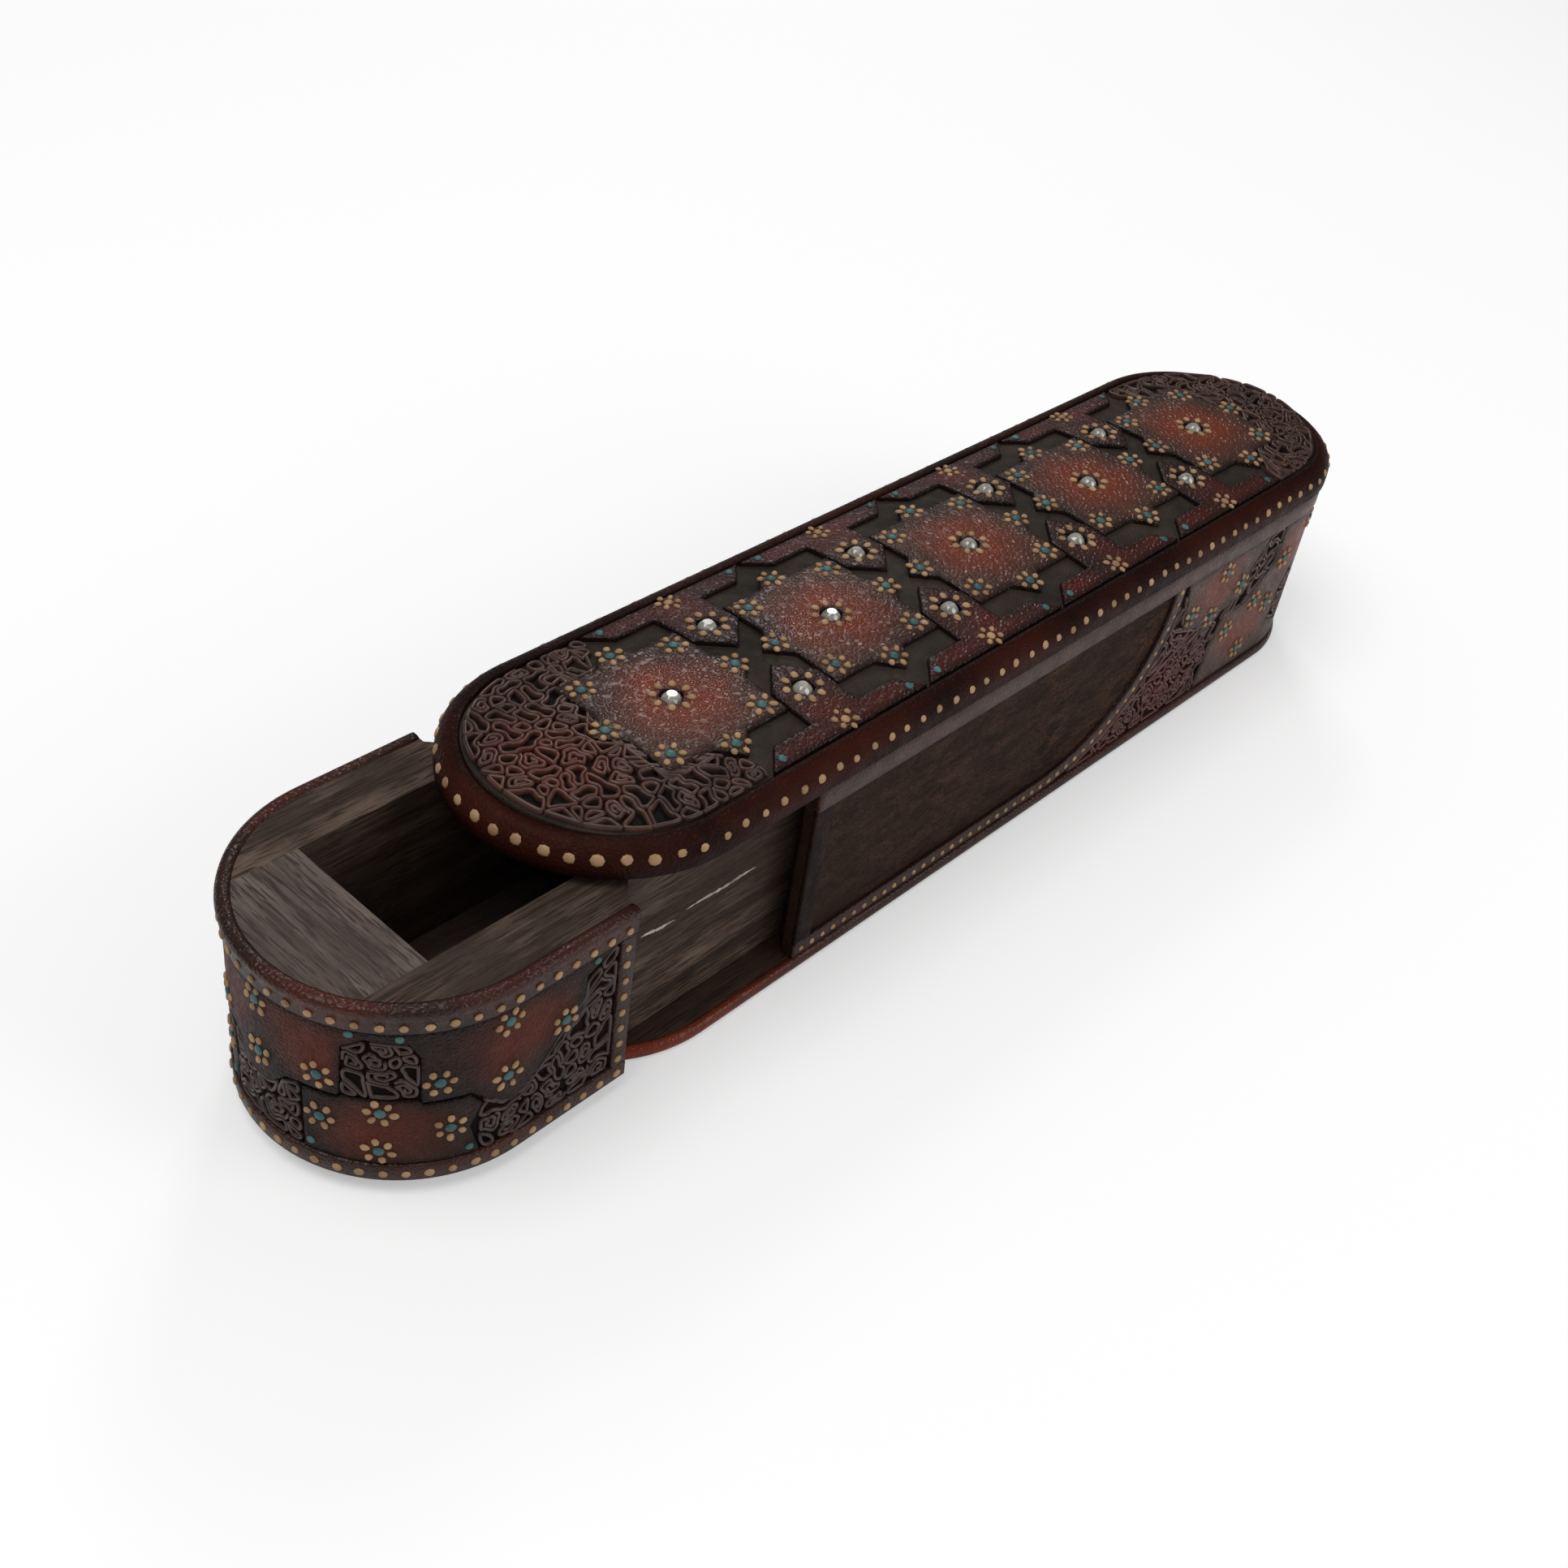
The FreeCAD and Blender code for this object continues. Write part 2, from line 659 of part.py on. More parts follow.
SIDE_STONE = HEAD_APEX + size("stone_from_apex")
between = [x + STAR_PITCH / 2 for x in STAR_PLACES[:-1]]
star_loops = []
for x in STAR_PLACES:
    star_loops.append(closed_polygon(star(x)))
    star_loops.append(stone_hole(x, 0))
crowned_layer("lid_star_panels", star_loops, "0", PANEL)

for name, side in (("right", -1), ("left", 1)):
    panel_loops = []
    for x in between:
        panel_loops.append(side_panel(x, side))
        panel_loops.append(stone_hole(x, side * SIDE_STONE))
    crowned_layer("lid_side_panels_" + name, panel_loops, "0", PANEL)


def lid_filigree(label, x, way):
    """Filigree between the outermost star and the round end of the field, in front (-1) or behind (1)."""
    gap = size("filigree_gap")
    middle = FRONT + HALF if way < 0 else REAR - HALF
    last = x + way * gap
    star_side = [corner for corner in star(x, gap) if (corner[0] - x) * way > gap]
    star_side.sort(key=lambda corner: math.atan2(corner[1], (corner[0] - x) * way))
    tip = STAR_TIP + gap
    inner = [(last, -tip + gap)] + star_side + [(last, tip - gap)]
    ends = [(last, PANEL_EDGE), (middle, PANEL_EDGE)]
    border = arc((middle, PANEL_EDGE), (middle + way * PANEL_EDGE, 0), (middle, -PANEL_EDGE))
    corners = inner + [(last, PANEL_EDGE)]
    loop = [line(a, b) for a, b in zip(corners, corners[1:])]
    loop += [line(*ends), border, line((middle, -PANEL_EDGE), (last, -PANEL_EDGE))]
    loop.append(line((last, -PANEL_EDGE), inner[0]))
    turns = [k * math.pi / 12 for k in range(13)]
    outer = [(middle + way * PANEL_EDGE * math.sin(a), PANEL_EDGE * math.cos(a)) for a in turns]
    openings = drop_openings(corners + outer + [(last, -PANEL_EDGE)])
    crowned_layer(label, [loop] + openings, "Sizes.filigree_sink", PANEL)


lid_filigree("lid_filigree_front", STAR_PLACES[0], -1)
lid_filigree("lid_filigree_rear", STAR_PLACES[-1], 1)


# Stones: low cut glass cones with eight sides, glued to the channel floor inside the holes.
def cut_stone(x, y):
    crown = size("camber_radius") - size("panel_thick")
    nearest = max(abs(y) - size("stone_radius"), 0)
    level = LID_CROWN - size("camber_radius") + math.sqrt(crown ** 2 - nearest ** 2)
    bottom = []
    top = []
    for k in range(8):
        angle = (k + 0.5) * math.pi / 4
        way = FreeCAD.Vector(math.cos(angle), math.sin(angle), 0)
        bottom.append(FreeCAD.Vector(x, y, level) + way * size("stone_radius"))
        top.append(FreeCAD.Vector(x, y, level + size("stone_height")) + way * size("table_radius"))
    rings = [bottom, top] + [
        [bottom[k - 1], bottom[k], top[k], top[k - 1]] for k in range(8)
    ]
    faces = [Part.Face(Part.makePolygon(ring + ring[:1])) for ring in rings]
    return Part.makeSolid(Part.makeShell(faces))


stones = [cut_stone(x, 0) for x in STAR_PLACES]
for x in between:
    for side in (-1, 1):
        stones.append(cut_stone(x, side * SIDE_STONE))
lid_stones = doc.addObject("Part::Feature", "lid_stones")
lid_stones.Shape = Part.makeCompound(stones)
lid_stones.Label = "lid_stones"
pieces.append(lid_stones)

# Drawer: two long rails with a front block, a rear block and a floor between them.  The rails widen at
# the front into the round nose, which is wrapped in leather and closes flush with the boards.
NOSE_FRONT = FRONT - size("drawer_out")
NOSE_REAR = MOUTH - size("slide_gap") - size("drawer_out")
NOSE_WOOD = HALF - size("nose_rim_width")
NOSE_MIDDLE = NOSE_FRONT + HALF
RAIL_OUTSIDE = WALL_INSIDE - size("slide_gap")
WELL_HALF = RAIL_OUTSIDE - size("rail_thick")
WELL_FRONT = NOSE_FRONT + size("well_start")
DRAWER_REAR = BLOCK_FRONT - size("rear_gap") - size("drawer_out")
DRAWER_LEVEL = "Sizes.base_thick + Sizes.drawer_lift"
DRAWER_TOP = LID_UNDERSIDE - size("drawer_headroom")
DRAWER_HEIGHT = "(Sizes.tunnel_height - Sizes.drawer_lift - Sizes.drawer_headroom)"
SHOULDER = WALL_OUTSIDE - size("wall_land")


def nose_x(y):
    """Front of the nose's wood at a distance from the middle."""
    return NOSE_MIDDLE - math.sqrt(NOSE_WOOD ** 2 - y ** 2)


def drawer_rail(label, side):
    halfway = math.radians(45)
    outline = [
        line((nose_x(WELL_HALF), side * WELL_HALF), (DRAWER_REAR, side * WELL_HALF)),
        line((DRAWER_REAR, side * WELL_HALF), (DRAWER_REAR, side * RAIL_OUTSIDE)),
        line((DRAWER_REAR, side * RAIL_OUTSIDE), (NOSE_REAR + SHOULDER - RAIL_OUTSIDE, side * RAIL_OUTSIDE)),
        line((NOSE_REAR + SHOULDER - RAIL_OUTSIDE, side * RAIL_OUTSIDE), (NOSE_REAR, side * SHOULDER)),
        line((NOSE_REAR, side * SHOULDER), (NOSE_REAR, side * NOSE_WOOD)),
        line((NOSE_REAR, side * NOSE_WOOD), (NOSE_MIDDLE, side * NOSE_WOOD)),
        arc(
            (NOSE_MIDDLE, side * NOSE_WOOD),
            (NOSE_MIDDLE - NOSE_WOOD * math.sin(halfway / 2), side * NOSE_WOOD * math.cos(halfway / 2)),
            (nose_x(WELL_HALF), side * WELL_HALF),
        ),
    ]
    pad(new_body(label), [outline], DRAWER_LEVEL, DRAWER_HEIGHT)


drawer_rail("drawer_rail_right", -1)
drawer_rail("drawer_rail_left", 1)

front_outline = [
    line((WELL_FRONT, -WELL_HALF), (WELL_FRONT, WELL_HALF)),
    line((WELL_FRONT, WELL_HALF), (nose_x(WELL_HALF), WELL_HALF)),
    arc((nose_x(WELL_HALF), WELL_HALF), (nose_x(0), 0), (nose_x(WELL_HALF), -WELL_HALF)),
    line((nose_x(WELL_HALF), -WELL_HALF), (WELL_FRONT, -WELL_HALF)),
]
pad(new_body("drawer_front_block"), [front_outline], DRAWER_LEVEL, DRAWER_HEIGHT)

REAR_WALL_FRONT = DRAWER_REAR - size("rear_wall")
rear_outline = closed_polygon([
    (REAR_WALL_FRONT, -WELL_HALF),
    (DRAWER_REAR, -WELL_HALF),
    (DRAWER_REAR, WELL_HALF),
    (REAR_WALL_FRONT, WELL_HALF),
])
pad(new_body("drawer_rear_block"), [rear_outline], DRAWER_LEVEL, DRAWER_HEIGHT)

floor_outline = closed_polygon([
    (WELL_FRONT, -WELL_HALF),
    (REAR_WALL_FRONT, -WELL_HALF),
    (REAR_WALL_FRONT, WELL_HALF),
    (WELL_FRONT, WELL_HALF),
])
pad(new_body("drawer_floor"), [floor_outline], DRAWER_LEVEL, "Sizes.well_floor")

# Nose leather: a rolled rim at the top, a foot band at the bottom, an upright band at each rear edge,
# and the leather of the field between them, a little recessed.
RIM_LEVEL = DRAWER_LEVEL + " + " + DRAWER_HEIGHT + " + Sizes.nose_rim_proud - Sizes.nose_rim_height"
FIELD_HEIGHT = DRAWER_HEIGHT + " + Sizes.nose_rim_proud - Sizes.nose_rim_height - Sizes.nose_foot_height"

nose_rim = new_body("nose_rim_leather")
rim_outline = nose_band(NOSE_FRONT, NOSE_REAR, HALF, size("nose_rim_width"))
pad(nose_rim, [rim_outline], RIM_LEVEL, "Sizes.nose_rim_height")
bevel_edges(
    nose_rim,
    "Sizes.nose_rim_bevel",
    lambda e: lies_at(e, DRAWER_TOP + size("nose_rim_proud")) and e.Length > 2 * size("nose_rim_width"),
)

nose_foot = new_body("nose_foot_leather")
foot_outline = nose_band(NOSE_FRONT, NOSE_REAR, HALF, size("nose_rim_width"))
pad(nose_foot, [foot_outline], DRAWER_LEVEL, "Sizes.nose_foot_height")

cheek_front = NOSE_REAR - size("nose_cheek_width")
for name, side in (("right", -1), ("left", 1)):
    cheek = closed_polygon([
        (cheek_front, side * NOSE_WOOD),
        (NOSE_REAR, side * NOSE_WOOD),
        (NOSE_REAR, side * HALF),
        (cheek_front, side * HALF),
    ])
    pad(new_body("nose_cheek_" + name), [cheek], DRAWER_LEVEL + " + Sizes.nose_foot_height", FIELD_HEIGHT)

FIELD_LOW = BASE_TOP + size("drawer_lift") + size("nose_foot_height")
FIELD_HIGH = DRAWER_TOP + size("nose_rim_proud") - size("nose_rim_height")
RUN = NOSE_REAR - NOSE_MIDDLE
HALF_ROUND = RUN + math.pi * HALF / 2


def nose_layer(label, sunk, thick):
    """Layer of the nose's leather between its bands, its outside sunk behind them."""
    body = new_body(label)
    outline = nose_band(NOSE_FRONT + sunk, cheek_front, HALF - sunk, thick)
    pad(body, [outline], DRAWER_LEVEL + " + Sizes.nose_foot_height", FIELD_HEIGHT)
    return body


def nose_place(share, up):
    """Place on the nose seen from the side, from shares of the way to its middle and of the height."""
    way = share * HALF_ROUND
    x = NOSE_REAR - way if way < RUN else NOSE_MIDDLE - HALF * math.sin((way - RUN) / HALF)
    return x, FIELD_LOW + up * (FIELD_HIGH - FIELD_LOW)


def nose_places(shares):
    return [nose_place(*share) for share in shares]


# Ground leather of the nose, and on it the fields, with stepped outlines: an upper one from cheek to
# cheek and a lower one at each side of the front.  Filigree fills the corners, two arches and a dip.
CORNER = nose_places([
    (0.04, 1.0), (0.15, 0.88), (0.155, 0.58), (0.23, 0.55), (0.28, 0.42), (0.36, 0.26), (0.43, 0.40),
    (0.46, 0.5), (0.475, 0.5), (0.455, 0.40), (0.47, 0.21), (0.44, 0.0), (0.04, 0.0),
])
ARCH = nose_places([(0.59, 0.49), (0.59, 0.81), (0.61, 0.91), (0.71, 0.93), (0.77, 0.86), (0.775, 0.49)])
cut = size("knife_line")
corner_line = [nose_place(0.465, 0.485), nose_place(0.60, 0.485)]
middle_line = [nose_place(0.76, 0.485), nose_place(0.90, 0.485)]
DIP_HALF = HALF * math.sin(0.125 * HALF_ROUND / HALF)
DIP_HIGH = FIELD_LOW + 0.495 * (FIELD_HIGH - FIELD_LOW)
DIP_LOW = FIELD_LOW + 0.33 * (FIELD_HIGH - FIELD_LOW)
DIP = [
    (-DIP_HALF, FIELD_LOW),
    (DIP_HALF, FIELD_LOW),
    (DIP_HALF, DIP_HIGH),
    (0, DIP_LOW),
    (-DIP_HALF, DIP_HIGH),
]


def band_along(ends):
    """Narrow cut between two places at one height."""
    (xa, level), (xb, _) = ends
    return closed_polygon([(xa, level), (xb, level), (xb, level + cut), (xa, level + cut)])


recess = size("nose_recess")
nose_layer("nose_ground_leather", recess + relief, size("nose_rim_width") - recess - relief)
nose_field = nose_layer("nose_field_leather", recess, relief)
pocket_through(nose_field, [closed_polygon(CORNER)], "XZ_Plane")
pocket_through(nose_field, [closed_polygon(ARCH)], "XZ_Plane")
pocket_through(nose_field, [band_along(corner_line)], "XZ_Plane")
pocket_through(nose_field, [closed_polygon(DIP)], "YZ_Plane")
pocket_through(nose_field, [band_along(middle_line)], "XZ_Plane")

around_regions = closed_polygon([
    (NOSE_FRONT - 1, FIELD_LOW - 1), (NOSE_REAR + 1, FIELD_LOW - 1),
    (NOSE_REAR + 1, FIELD_HIGH + 1), (NOSE_FRONT - 1, FIELD_HIGH + 1),
])
nose_filigree = nose_layer("nose_filigree_sides", recess, relief)
kept = [closed_polygon(CORNER), closed_polygon(ARCH)] + drop_openings(CORNER) + drop_openings(ARCH)
pocket_through(nose_filigree, [around_regions] + kept, "XZ_Plane")

beside_dip = closed_polygon([
    (-HALF - 1, FIELD_LOW - 1), (HALF + 1, FIELD_LOW - 1),
    (HALF + 1, FIELD_HIGH + 1), (-HALF - 1, FIELD_HIGH + 1),
])
dip_filigree = nose_layer("nose_filigree_front", recess, relief)
pocket_through(dip_filigree, [beside_dip, closed_polygon(DIP)] + drop_openings(DIP), "YZ_Plane")

doc.recompute()
for item in doc.Objects:
    if "Invalid" in item.State or "Error" in item.State:
        raise ValueError("failed: " + item.Label)
os.makedirs("parts", exist_ok=True)
for piece in pieces:
    if piece.Shape.isNull() or not piece.Shape.isValid():
        raise ValueError("bad shape: " + piece.Label)
    piece.Shape.exportStep("parts/" + piece.Label + ".step")
    box = piece.Shape.BoundBox
    print("%-24s %2d solid(s) %9.1f mm3  x %7.2f %7.2f  y %6.2f %6.2f  z %6.2f %6.2f" % (
        piece.Label, len(piece.Shape.Solids), piece.Shape.Volume,
        box.XMin, box.XMax, box.YMin, box.YMax, box.ZMin, box.ZMax,
    ))
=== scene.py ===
import math
import random

import bmesh
import bpy
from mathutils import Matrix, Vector, noise
from mathutils.geometry import delaunay_2d_cdt


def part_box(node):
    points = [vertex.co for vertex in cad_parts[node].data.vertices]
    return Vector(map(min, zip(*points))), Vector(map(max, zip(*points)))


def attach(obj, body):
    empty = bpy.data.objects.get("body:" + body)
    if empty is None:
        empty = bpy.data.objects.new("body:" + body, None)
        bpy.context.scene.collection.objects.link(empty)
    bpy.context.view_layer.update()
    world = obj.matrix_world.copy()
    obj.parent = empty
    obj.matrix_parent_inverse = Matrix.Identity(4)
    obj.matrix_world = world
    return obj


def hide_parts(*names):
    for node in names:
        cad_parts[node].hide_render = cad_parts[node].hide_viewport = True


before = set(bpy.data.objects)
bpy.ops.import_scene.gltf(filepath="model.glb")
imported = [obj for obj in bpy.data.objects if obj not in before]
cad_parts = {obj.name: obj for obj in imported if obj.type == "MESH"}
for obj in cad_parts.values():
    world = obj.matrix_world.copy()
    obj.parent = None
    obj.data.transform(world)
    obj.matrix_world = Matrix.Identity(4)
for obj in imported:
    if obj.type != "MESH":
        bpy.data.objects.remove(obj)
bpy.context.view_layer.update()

# The view: a hand-held camera over the box's front right corner, a little turned to the left.
# Place and angles were solved from the outlines of the boards, the nose and the pen well.
VIEW_PLACE = (-0.27918, -0.17744, 0.25110)
VIEW_TURN = (50.625, -7.110, -46.950)
VIEW_LENS = 42.30
SENSOR_WIDTH = 36.0
NEAREST_SEEN = 0.01


def put_in_scene(name, data):
    thing = bpy.data.objects.new(name, data)
    bpy.context.scene.collection.objects.link(thing)
    return thing


camera = put_in_scene("camera", bpy.data.cameras.new("camera"))
camera.data.lens = VIEW_LENS
camera.data.sensor_width = SENSOR_WIDTH
camera.data.clip_start = NEAREST_SEEN
camera.location = VIEW_PLACE
camera.rotation_euler = [math.radians(angle) for angle in VIEW_TURN]
bpy.context.scene.camera = camera

# The studio: a plain pale floor, an even pale sky and three soft lamps.
# The brightest lamp stands behind the box, where the lid's lacquer catches it.
LAMPS = {
    "window": ((0.75, 0.75, 0.85), 0.3, 2.2),
    "ceiling": ((-0.5, 0.1, 1.2), 0.8, 5.5),
    "fill": ((0.5, -1.1, 0.6), 0.8, 3.8),
}
SKY_STRENGTH = 0.30
SKY_SHINE = 0.05
WHITE = (1, 1, 1, 1)
FLOOR_TINT = (0.9, 0.9, 0.9, 1)
FLOOR_LIFT = 0.35
FLOOR_REACH = 4

bpy.context.scene.view_settings.view_transform = "Standard"
for lamp_name, (place, width, power) in LAMPS.items():
    lamp = put_in_scene(lamp_name, bpy.data.lights.new(lamp_name, "AREA"))
    lamp.data.size = width
    lamp.data.energy = power
    lamp.location = place
    lamp.rotation_euler = Vector(place).to_track_quat("Z", "Y").to_euler()


def fill(node, sockets):
    """Sockets of a shader node: each takes a value, an output, or a node for its first output."""
    for socket, value in sockets.items():
        if isinstance(value, bpy.types.Node):
            value = value.outputs[0]
        if isinstance(value, bpy.types.NodeSocket):
            node.id_data.links.new(value, node.inputs[socket])
        else:
            node.inputs[socket].default_value = value


def add_node(tree, kind, sockets=None, **settings):
    node = tree.nodes.new("ShaderNode" + kind)
    for setting, value in settings.items():
        setattr(node, setting, value)
    fill(node, sockets or {})
    return node


def ranged(tree, value, low=0.0, high=1.0, to_low=0.0, to_high=1.0, **settings):
    """A value drawn from one range into another."""
    sockets = {"Value": value, "From Min": low, "From Max": high, "To Min": to_low, "To Max": to_high}
    return add_node(tree, "MapRange", sockets, **settings)


sky = bpy.data.worlds.new("studio_sky")
sky.use_nodes = True
bpy.context.scene.world = sky
tree = sky.node_tree
tree.nodes.clear()
rays = add_node(tree, "LightPath")
dimmed = ranged(tree, rays.outputs["Is Glossy Ray"], to_low=SKY_STRENGTH, to_high=SKY_SHINE)
light = add_node(tree, "Background", {"Color": WHITE, "Strength": dimmed})
seen = add_node(tree, "Background", {"Color": WHITE, "Strength": 1.0})
both = add_node(tree, "MixShader", {0: rays.outputs["Is Camera Ray"], 1: light, 2: seen})
add_node(tree, "OutputWorld", {"Surface": both})

floor_mesh = bpy.data.meshes.new("floor")
floor_corners = [(FLOOR_REACH * x, FLOOR_REACH * y, 0) for x, y in ((-1, -1), (1, -1), (1, 1), (-1, 1))]
floor_mesh.from_pydata(floor_corners, [], [(0, 1, 2, 3)])
floor = put_in_scene("floor", floor_mesh)
floor_finish = bpy.data.materials.new("pale_floor")
floor_finish.use_nodes = True
tree = floor_finish.node_tree
tree.nodes.clear()
rays = add_node(tree, "LightPath")
pale = add_node(tree, "BsdfDiffuse", {"Color": FLOOR_TINT})
lift = add_node(tree, "Emission", {"Color": WHITE, "Strength": FLOOR_LIFT})
lifted_floor = add_node(tree, "AddShader", {0: pale, 1: lift})
both = add_node(tree, "MixShader", {0: rays.outputs["Is Camera Ray"], 1: pale, 2: lifted_floor})
add_node(tree, "OutputMaterial", {"Surface": both})
floor_mesh.materials.append(floor_finish)

# Boards of the sleeve and the drawer: old sawn softwood, gone grey-brown, with open pores and stains.
# They keep their solids, and their grain runs the way each board was cut.
ALONG_BOX = (70.0, 1100.0, 1100.0)
ACROSS_BOX = (1100.0, 70.0, 1100.0)
WALL_GRAIN = (450.0, 1300.0, 1300.0)


def paint(red, green, blue):
    """Colour as the eye reads it, 0 to 255, in the linear values that shaders take."""
    linear = []
    for level in (red, green, blue):
        share = level / 255
        linear.append(share / 12.92 if share <= 0.04045 else ((share + 0.055) / 1.055) ** 2.4)
    return (*linear, 1.0)


def mixed(tree, share, first, second):
    """Colour between two. Each is an output or a colour as the eye reads it."""
    first, second = (paint(*tint) if isinstance(tint, tuple) else tint for tint in (first, second))
    return add_node(tree, "Mix", {0: share, 6: first, 7: second}, data_type="RGBA").outputs[2]


def maths(tree, operation, first, second, **settings):
    return add_node(tree, "Math", {0: first, 1: second}, operation=operation, **settings)


def grained(tree, place, scale, detail, **sockets):
    """Noise over a place."""
    return add_node(tree, "TexNoise", {"Vector": place, "Scale": scale, "Detail": detail, **sockets})


def bumped(tree, height, relief, strength):
    return add_node(tree, "Bump", {"Height": height, "Distance": relief, "Strength": strength})


def new_group(name, inputs):
    """Shader group with its inputs, and the node that gives them."""
    group = bpy.data.node_groups.new(name, "ShaderNodeTree")
    for socket, value in inputs.items():
        kind = "NodeSocketVector" if isinstance(value, tuple) else "NodeSocketFloat"
        group.interface.new_socket(socket, in_out="INPUT", socket_type=kind).default_value = value
    return group, group.nodes.new("NodeGroupInput")


def with_results(group, results):
    """The group, its outputs linked to the nodes that make them."""
    for socket in results:
        group.interface.new_socket(socket, in_out="OUTPUT", socket_type="NodeSocketFloat")
    fill(group.nodes.new("NodeGroupOutput"), results)
    return group


def wood_fibre_group():
    group, given = new_group("wood_fibre", {"Stretch": ALONG_BOX})
    place = add_node(group, "TexCoord").outputs["Object"]
    drawn = add_node(group, "VectorMath", {0: place, 1: given.outputs["Stretch"]}, operation="MULTIPLY")
    fibre = grained(group, drawn, 1.0, 6.0, Roughness=0.75)
    slits = ranged(group, grained(group, drawn, 2.3, 2.0), 0.36, 0.46)
    rings = grained(group, drawn, 0.22, 3.0, Distortion=0.6)
    streak = ranged(group, maths(group, "ADD", fibre, rings), 0.8, 1.2)
    pores = maths(group, "MULTIPLY", grained(group, place, 1400.0, 2.0), 0.35)
    rough = maths(group, "ADD", fibre, pores)
    return with_results(group, {
        "Streak": maths(group, "MULTIPLY", streak, slits),
        "Stain": ranged(group, grained(group, place, 45.0, 5.0, Roughness=0.6), 0.35, 0.65),
        "Height": maths(group, "ADD", rough, slits),
    })


WOOD_FIBRE = wood_fibre_group()


def new_finish(name):
    """Material with its node tree and its shader."""
    finish = bpy.data.materials.new(name)
    finish.use_nodes = True
    return finish, finish.node_tree, finish.node_tree.nodes["Principled BSDF"]


def old_wood(name, stretch, dark, pale, stain, relief=0.00025):
    """Bare wood whose fibres run along the axis with the smallest stretch."""
    finish, tree, shader = new_finish(name)
    grain = add_node(tree, "Group", {"Stretch": stretch}, node_tree=WOOD_FIBRE)
    board = mixed(tree, grain.outputs["Streak"], dark, pale)
    fill(shader, {
        "Base Color": mixed(tree, grain.outputs["Stain"], stain, board),
        "Roughness": ranged(tree, grain.outputs["Streak"], to_low=0.78, to_high=0.6),
        "Normal": bumped(tree, grain.outputs["Height"], relief, 0.7),
        "Specular IOR Level": 0.2,
    })
    return finish


def dress(finish, *nodes):
    """A finish for CAD pieces that are shown as they are."""
    for node in nodes:
        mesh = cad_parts[node].data
        mesh.materials.clear()
        mesh.materials.append(finish)


rail_wood = old_wood("rail_wood", ALONG_BOX, (56, 43, 36), (124, 104, 89), (70, 56, 47), 0.0005)
block_wood = old_wood("block_wood", ACROSS_BOX, (64, 54, 49), (140, 125, 116), (90, 78, 72), 0.0005)
floor_wood = old_wood("floor_wood", ALONG_BOX, (58, 44, 40), (90, 74, 68), (60, 48, 44))
board_wood = old_wood("board_wood", ALONG_BOX, (58, 42, 34), (84, 64, 52), (52, 38, 31))
wall_wood = old_wood("glued_wall_wood", WALL_GRAIN, (28, 16, 9), (90, 56, 36), (54, 33, 20), 0.0008)
dress(rail_wood, "drawer_rail_right", "drawer_rail_left")
dress(block_wood, "drawer_front_block", "drawer_rear_block")
dress(floor_wood, "drawer_floor")
dress(board_wood, "base_board", "lid_board", "rear_block")
dress(wall_wood, "side_wall_right", "side_wall_left")

# Leather round the edge of the base board: thin calf drawn tight over the edge and burnished.
# Along the sides it is dark; the orange-brown round the open front is a painted highlight on the rolled edge.
MM = 0.001
RING_STEP = 1.5


def leather_grain_group():
    group, given = new_group("leather_grain", {"Cells": 1500.0})
    place = add_node(group, "TexCoord").outputs["Object"]
    cells = add_node(
        group, "TexVoronoi", {"Vector": place, "Scale": given.outputs["Cells"]}, feature="DISTANCE_TO_EDGE",
    )
    domes = ranged(group, cells.outputs["Distance"], 0.0, 0.35, interpolation_type="SMOOTHSTEP")
    creases = maths(group, "MULTIPLY", grained(group, place, 420.0, 4.0, Distortion=0.4), 0.5)
    return with_results(group, {
        "Height": maths(group, "ADD", domes, creases),
        "Mottle": ranged(group, grained(group, place, 260.0, 5.0, Roughness=0.6), 0.34, 0.66),
        "Broad": ranged(group, grained(group, place, 38.0, 3.0), 0.38, 0.62),
    })


LEATHER_GRAIN = leather_grain_group()


def mark_of(tree, mark):
    """Share that the mesh carries at each spot."""
    return add_node(tree, "Attribute", attribute_name=mark).outputs["Fac"]


def leather(
    name, deep, light, glow=None, worn=None, cells=1000.0, relief=0.0001, gloss=0.4, coat=0.2, specular=0.25,
):
    """Stained leather. Its glow and worn edges follow the marks that its mesh carries. The glow is a stain,
    but on the base edge it is a painted highlight.
    """
    finish, tree, shader = new_finish(name)
    grain = add_node(tree, "Group", {"Cells": cells}, node_tree=LEATHER_GRAIN)
    mottle = grain.outputs["Mottle"]
    tone = maths(tree, "MULTIPLY", maths(tree, "ADD", mottle, grain.outputs["Broad"]), 0.5)
    colour = mixed(tree, tone, deep, light)
    for mark, tint in (("glow", glow), ("edge", worn)):
        if tint:
            patchy = ranged(tree, mottle, to_low=0.75)
            share = maths(tree, "MULTIPLY", mark_of(tree, mark), patchy, use_clamp=True)
            colour = mixed(tree, share, colour, tint)
    bump = bumped(tree, grain.outputs["Height"], relief, 1.0)
    fill(shader, {
        "Base Color": colour,
        "Roughness": ranged(tree, mottle, to_low=gloss + 0.1, to_high=gloss - 0.06),
        "Normal": bump,
        "Coat Normal": bump,
        "Specular IOR Level": specular,
        "Coat Weight": coat,
        "Coat Roughness": 0.2,
    })
    return finish


